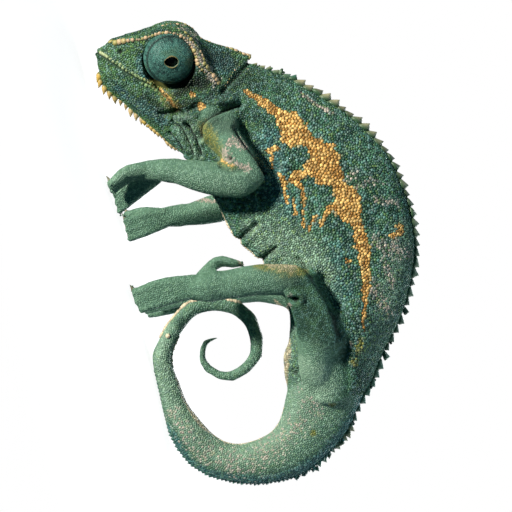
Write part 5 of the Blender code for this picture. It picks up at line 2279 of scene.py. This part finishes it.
@dataclass
class Studio:
    """The pale floor, the soft lights, the background and the camera."""

    aim: Place = (1.63, 0.0, 18.8)
    distance: float = 400.0
    picture_width: float = 76.8  # what the camera sees across at the animal
    roll: float = math.radians(13.0)
    rise: float = math.radians(2.0)
    sensor: float = 36.0
    fill: float = 0.055
    sky: Colour = (0.18, 0.7, 1.0)
    white: Colour = (1.0, 1.0, 1.0)
    floor_radius: float = 0.18
    lamps: tuple[Lamp, ...] = (
        Lamp("key", (-290.0, -330.0, -232.0), 0.06, 3.75, (1.0, 0.93, 0.82)),
        Lamp("front", (-60.0, -420.0, 160.0), 0.3, 0.04, (0.6, 0.9, 1.0)),
        Lamp("top", (40.0, 60.0, 440.0), 0.3, 0.45, (0.8, 0.95, 1.0)),
        Lamp("back", (120.0, 420.0, 180.0), 0.35, 1.9, (0.95, 0.98, 1.0)),
        Lamp("rear", (480.0, 90.0, 120.0), 0.3, 0.8, (0.9, 0.97, 1.0)),
    )

    def camera(self) -> None:
        """The camera: level with the animal and rolled, so that its head is at the top."""
        right = Vector((math.sin(self.roll), 0.0, math.cos(self.roll)))
        up = Vector((-math.cos(self.roll), 0.0, math.sin(self.roll)))
        lift = Matrix.Rotation(-self.rise, 3, "X")
        turn = Matrix((lift @ right, lift @ up, lift @ Vector((0.0, -1.0, 0.0)))).transposed()
        data = bpy.data.cameras.new("camera")
        data.sensor_width = self.sensor
        data.lens = self.sensor * self.distance / self.picture_width
        data.clip_start, data.clip_end = 0.01, 20.0
        camera = stand("camera", data)
        place = Vector(self.aim) + turn @ Vector((0.0, 0.0, self.distance))
        camera.matrix_world = Matrix.Translation(place * MM) @ turn.to_4x4()
        bpy.context.scene.camera = camera

    def light(self, lamp: Lamp) -> None:
        """One lamp, aimed at the middle of the animal.

        Args:
            lamp: the lamp.
        """
        data = bpy.data.lights.new(lamp.name, "AREA")
        data.shape = "DISK"
        data.size = lamp.size
        data.energy = lamp.power
        data.color = lamp.colour
        made = stand(lamp.name, data)
        made.location = Vector(lamp.place) * MM
        way = (Vector(self.aim) - Vector(lamp.place)).normalized()
        made.rotation_mode = "QUATERNION"
        made.rotation_quaternion = way.to_track_quat("-Z", "Y")

    def background(self) -> None:
        """A white surround that lights the animal softly."""
        world = bpy.data.worlds.new("surround")
        bpy.context.scene.world = world
        world.use_nodes = True
        g = Graph(world.node_tree)
        seen = g.out("ShaderNodeLightPath", key="Is Camera Ray")
        back = world.node_tree.nodes["Background"].inputs
        g.tree.links.new(g.mix(seen, self.sky, self.white), back["Color"])
        g.tree.links.new(g.smooth(seen, 0.0, 1.0, self.fill, 1.0), back["Strength"])

    def floor(self) -> None:
        """The round pale floor. The key light stands lower, so the floor lets its rays by."""
        shape = bmesh.new()
        bmesh.ops.create_circle(shape, cap_ends=True, segments=96, radius=self.floor_radius)
        mesh = settled(shape, "floor")
        mesh.materials.append(FloorFinish().dress())
        floor = stand("floor", mesh)
        floor.visible_shadow = floor.visible_diffuse = floor.visible_glossy = False
        floor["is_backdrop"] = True

    def build(self) -> None:
        """Sets the studio up."""
        self.camera()
        for lamp in self.lamps:
            self.light(lamp)
        self.background()
        self.floor()
        bpy.context.scene.view_settings.view_transform = "Standard"


# ------------ the whole animal


UNDER_EYES = 3.95  # how far from the head's side axis the eye turrets cover the skin
SKIN_TRIANGLES = 190_000


def build_animal() -> None:
    """Builds the skin, the scales, the rows, the eyes and the claws."""
    head = HeadAxes()
    hide = Hide(head)
    hide.soften()
    hide.refine_head()
    hide.save()
    unwrap(hide.mesh)
    hide.even_out()
    hide.fold()
    hide.mark()
    mesh = hide.finish(UNDER_EYES)
    bare = HideFinish("skin_between_scales", scaled=False, roughness=0.75)
    skin = show("skin", thinned(mesh, SKIN_TRIANGLES), bare.dress())
    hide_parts(*FLESH)

    ScaleCoat(mesh).build()
    Rows(skin, head, surface_of(mesh)).build()
    lids = TurretFinish().dress()
    rim = HornFinish("lid_rim", (0.38, 0.34, 0.15), (0.38, 0.34, 0.15)).dress()
    ball = EyeballFinish().dress()
    for side in Side:
        Eye(side, head).build(lids, rim, ball)
    Claws().build(HornFinish("claws", (0.16, 0.17, 0.11), (0.42, 0.42, 0.3), (0.0, 0.6)).dress())


def main() -> None:
    """Builds the animal and its studio, and works out the sizes."""
    logging.basicConfig(level=logging.INFO, format="%(message)s")
    build_animal()
    Studio().build()
    sizes = {"cad": CAD_BOX, "visual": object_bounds()}
    plain = {key: [list(corner) for corner in box] for key, box in sizes.items()}


if __name__ == "__main__":
    main()
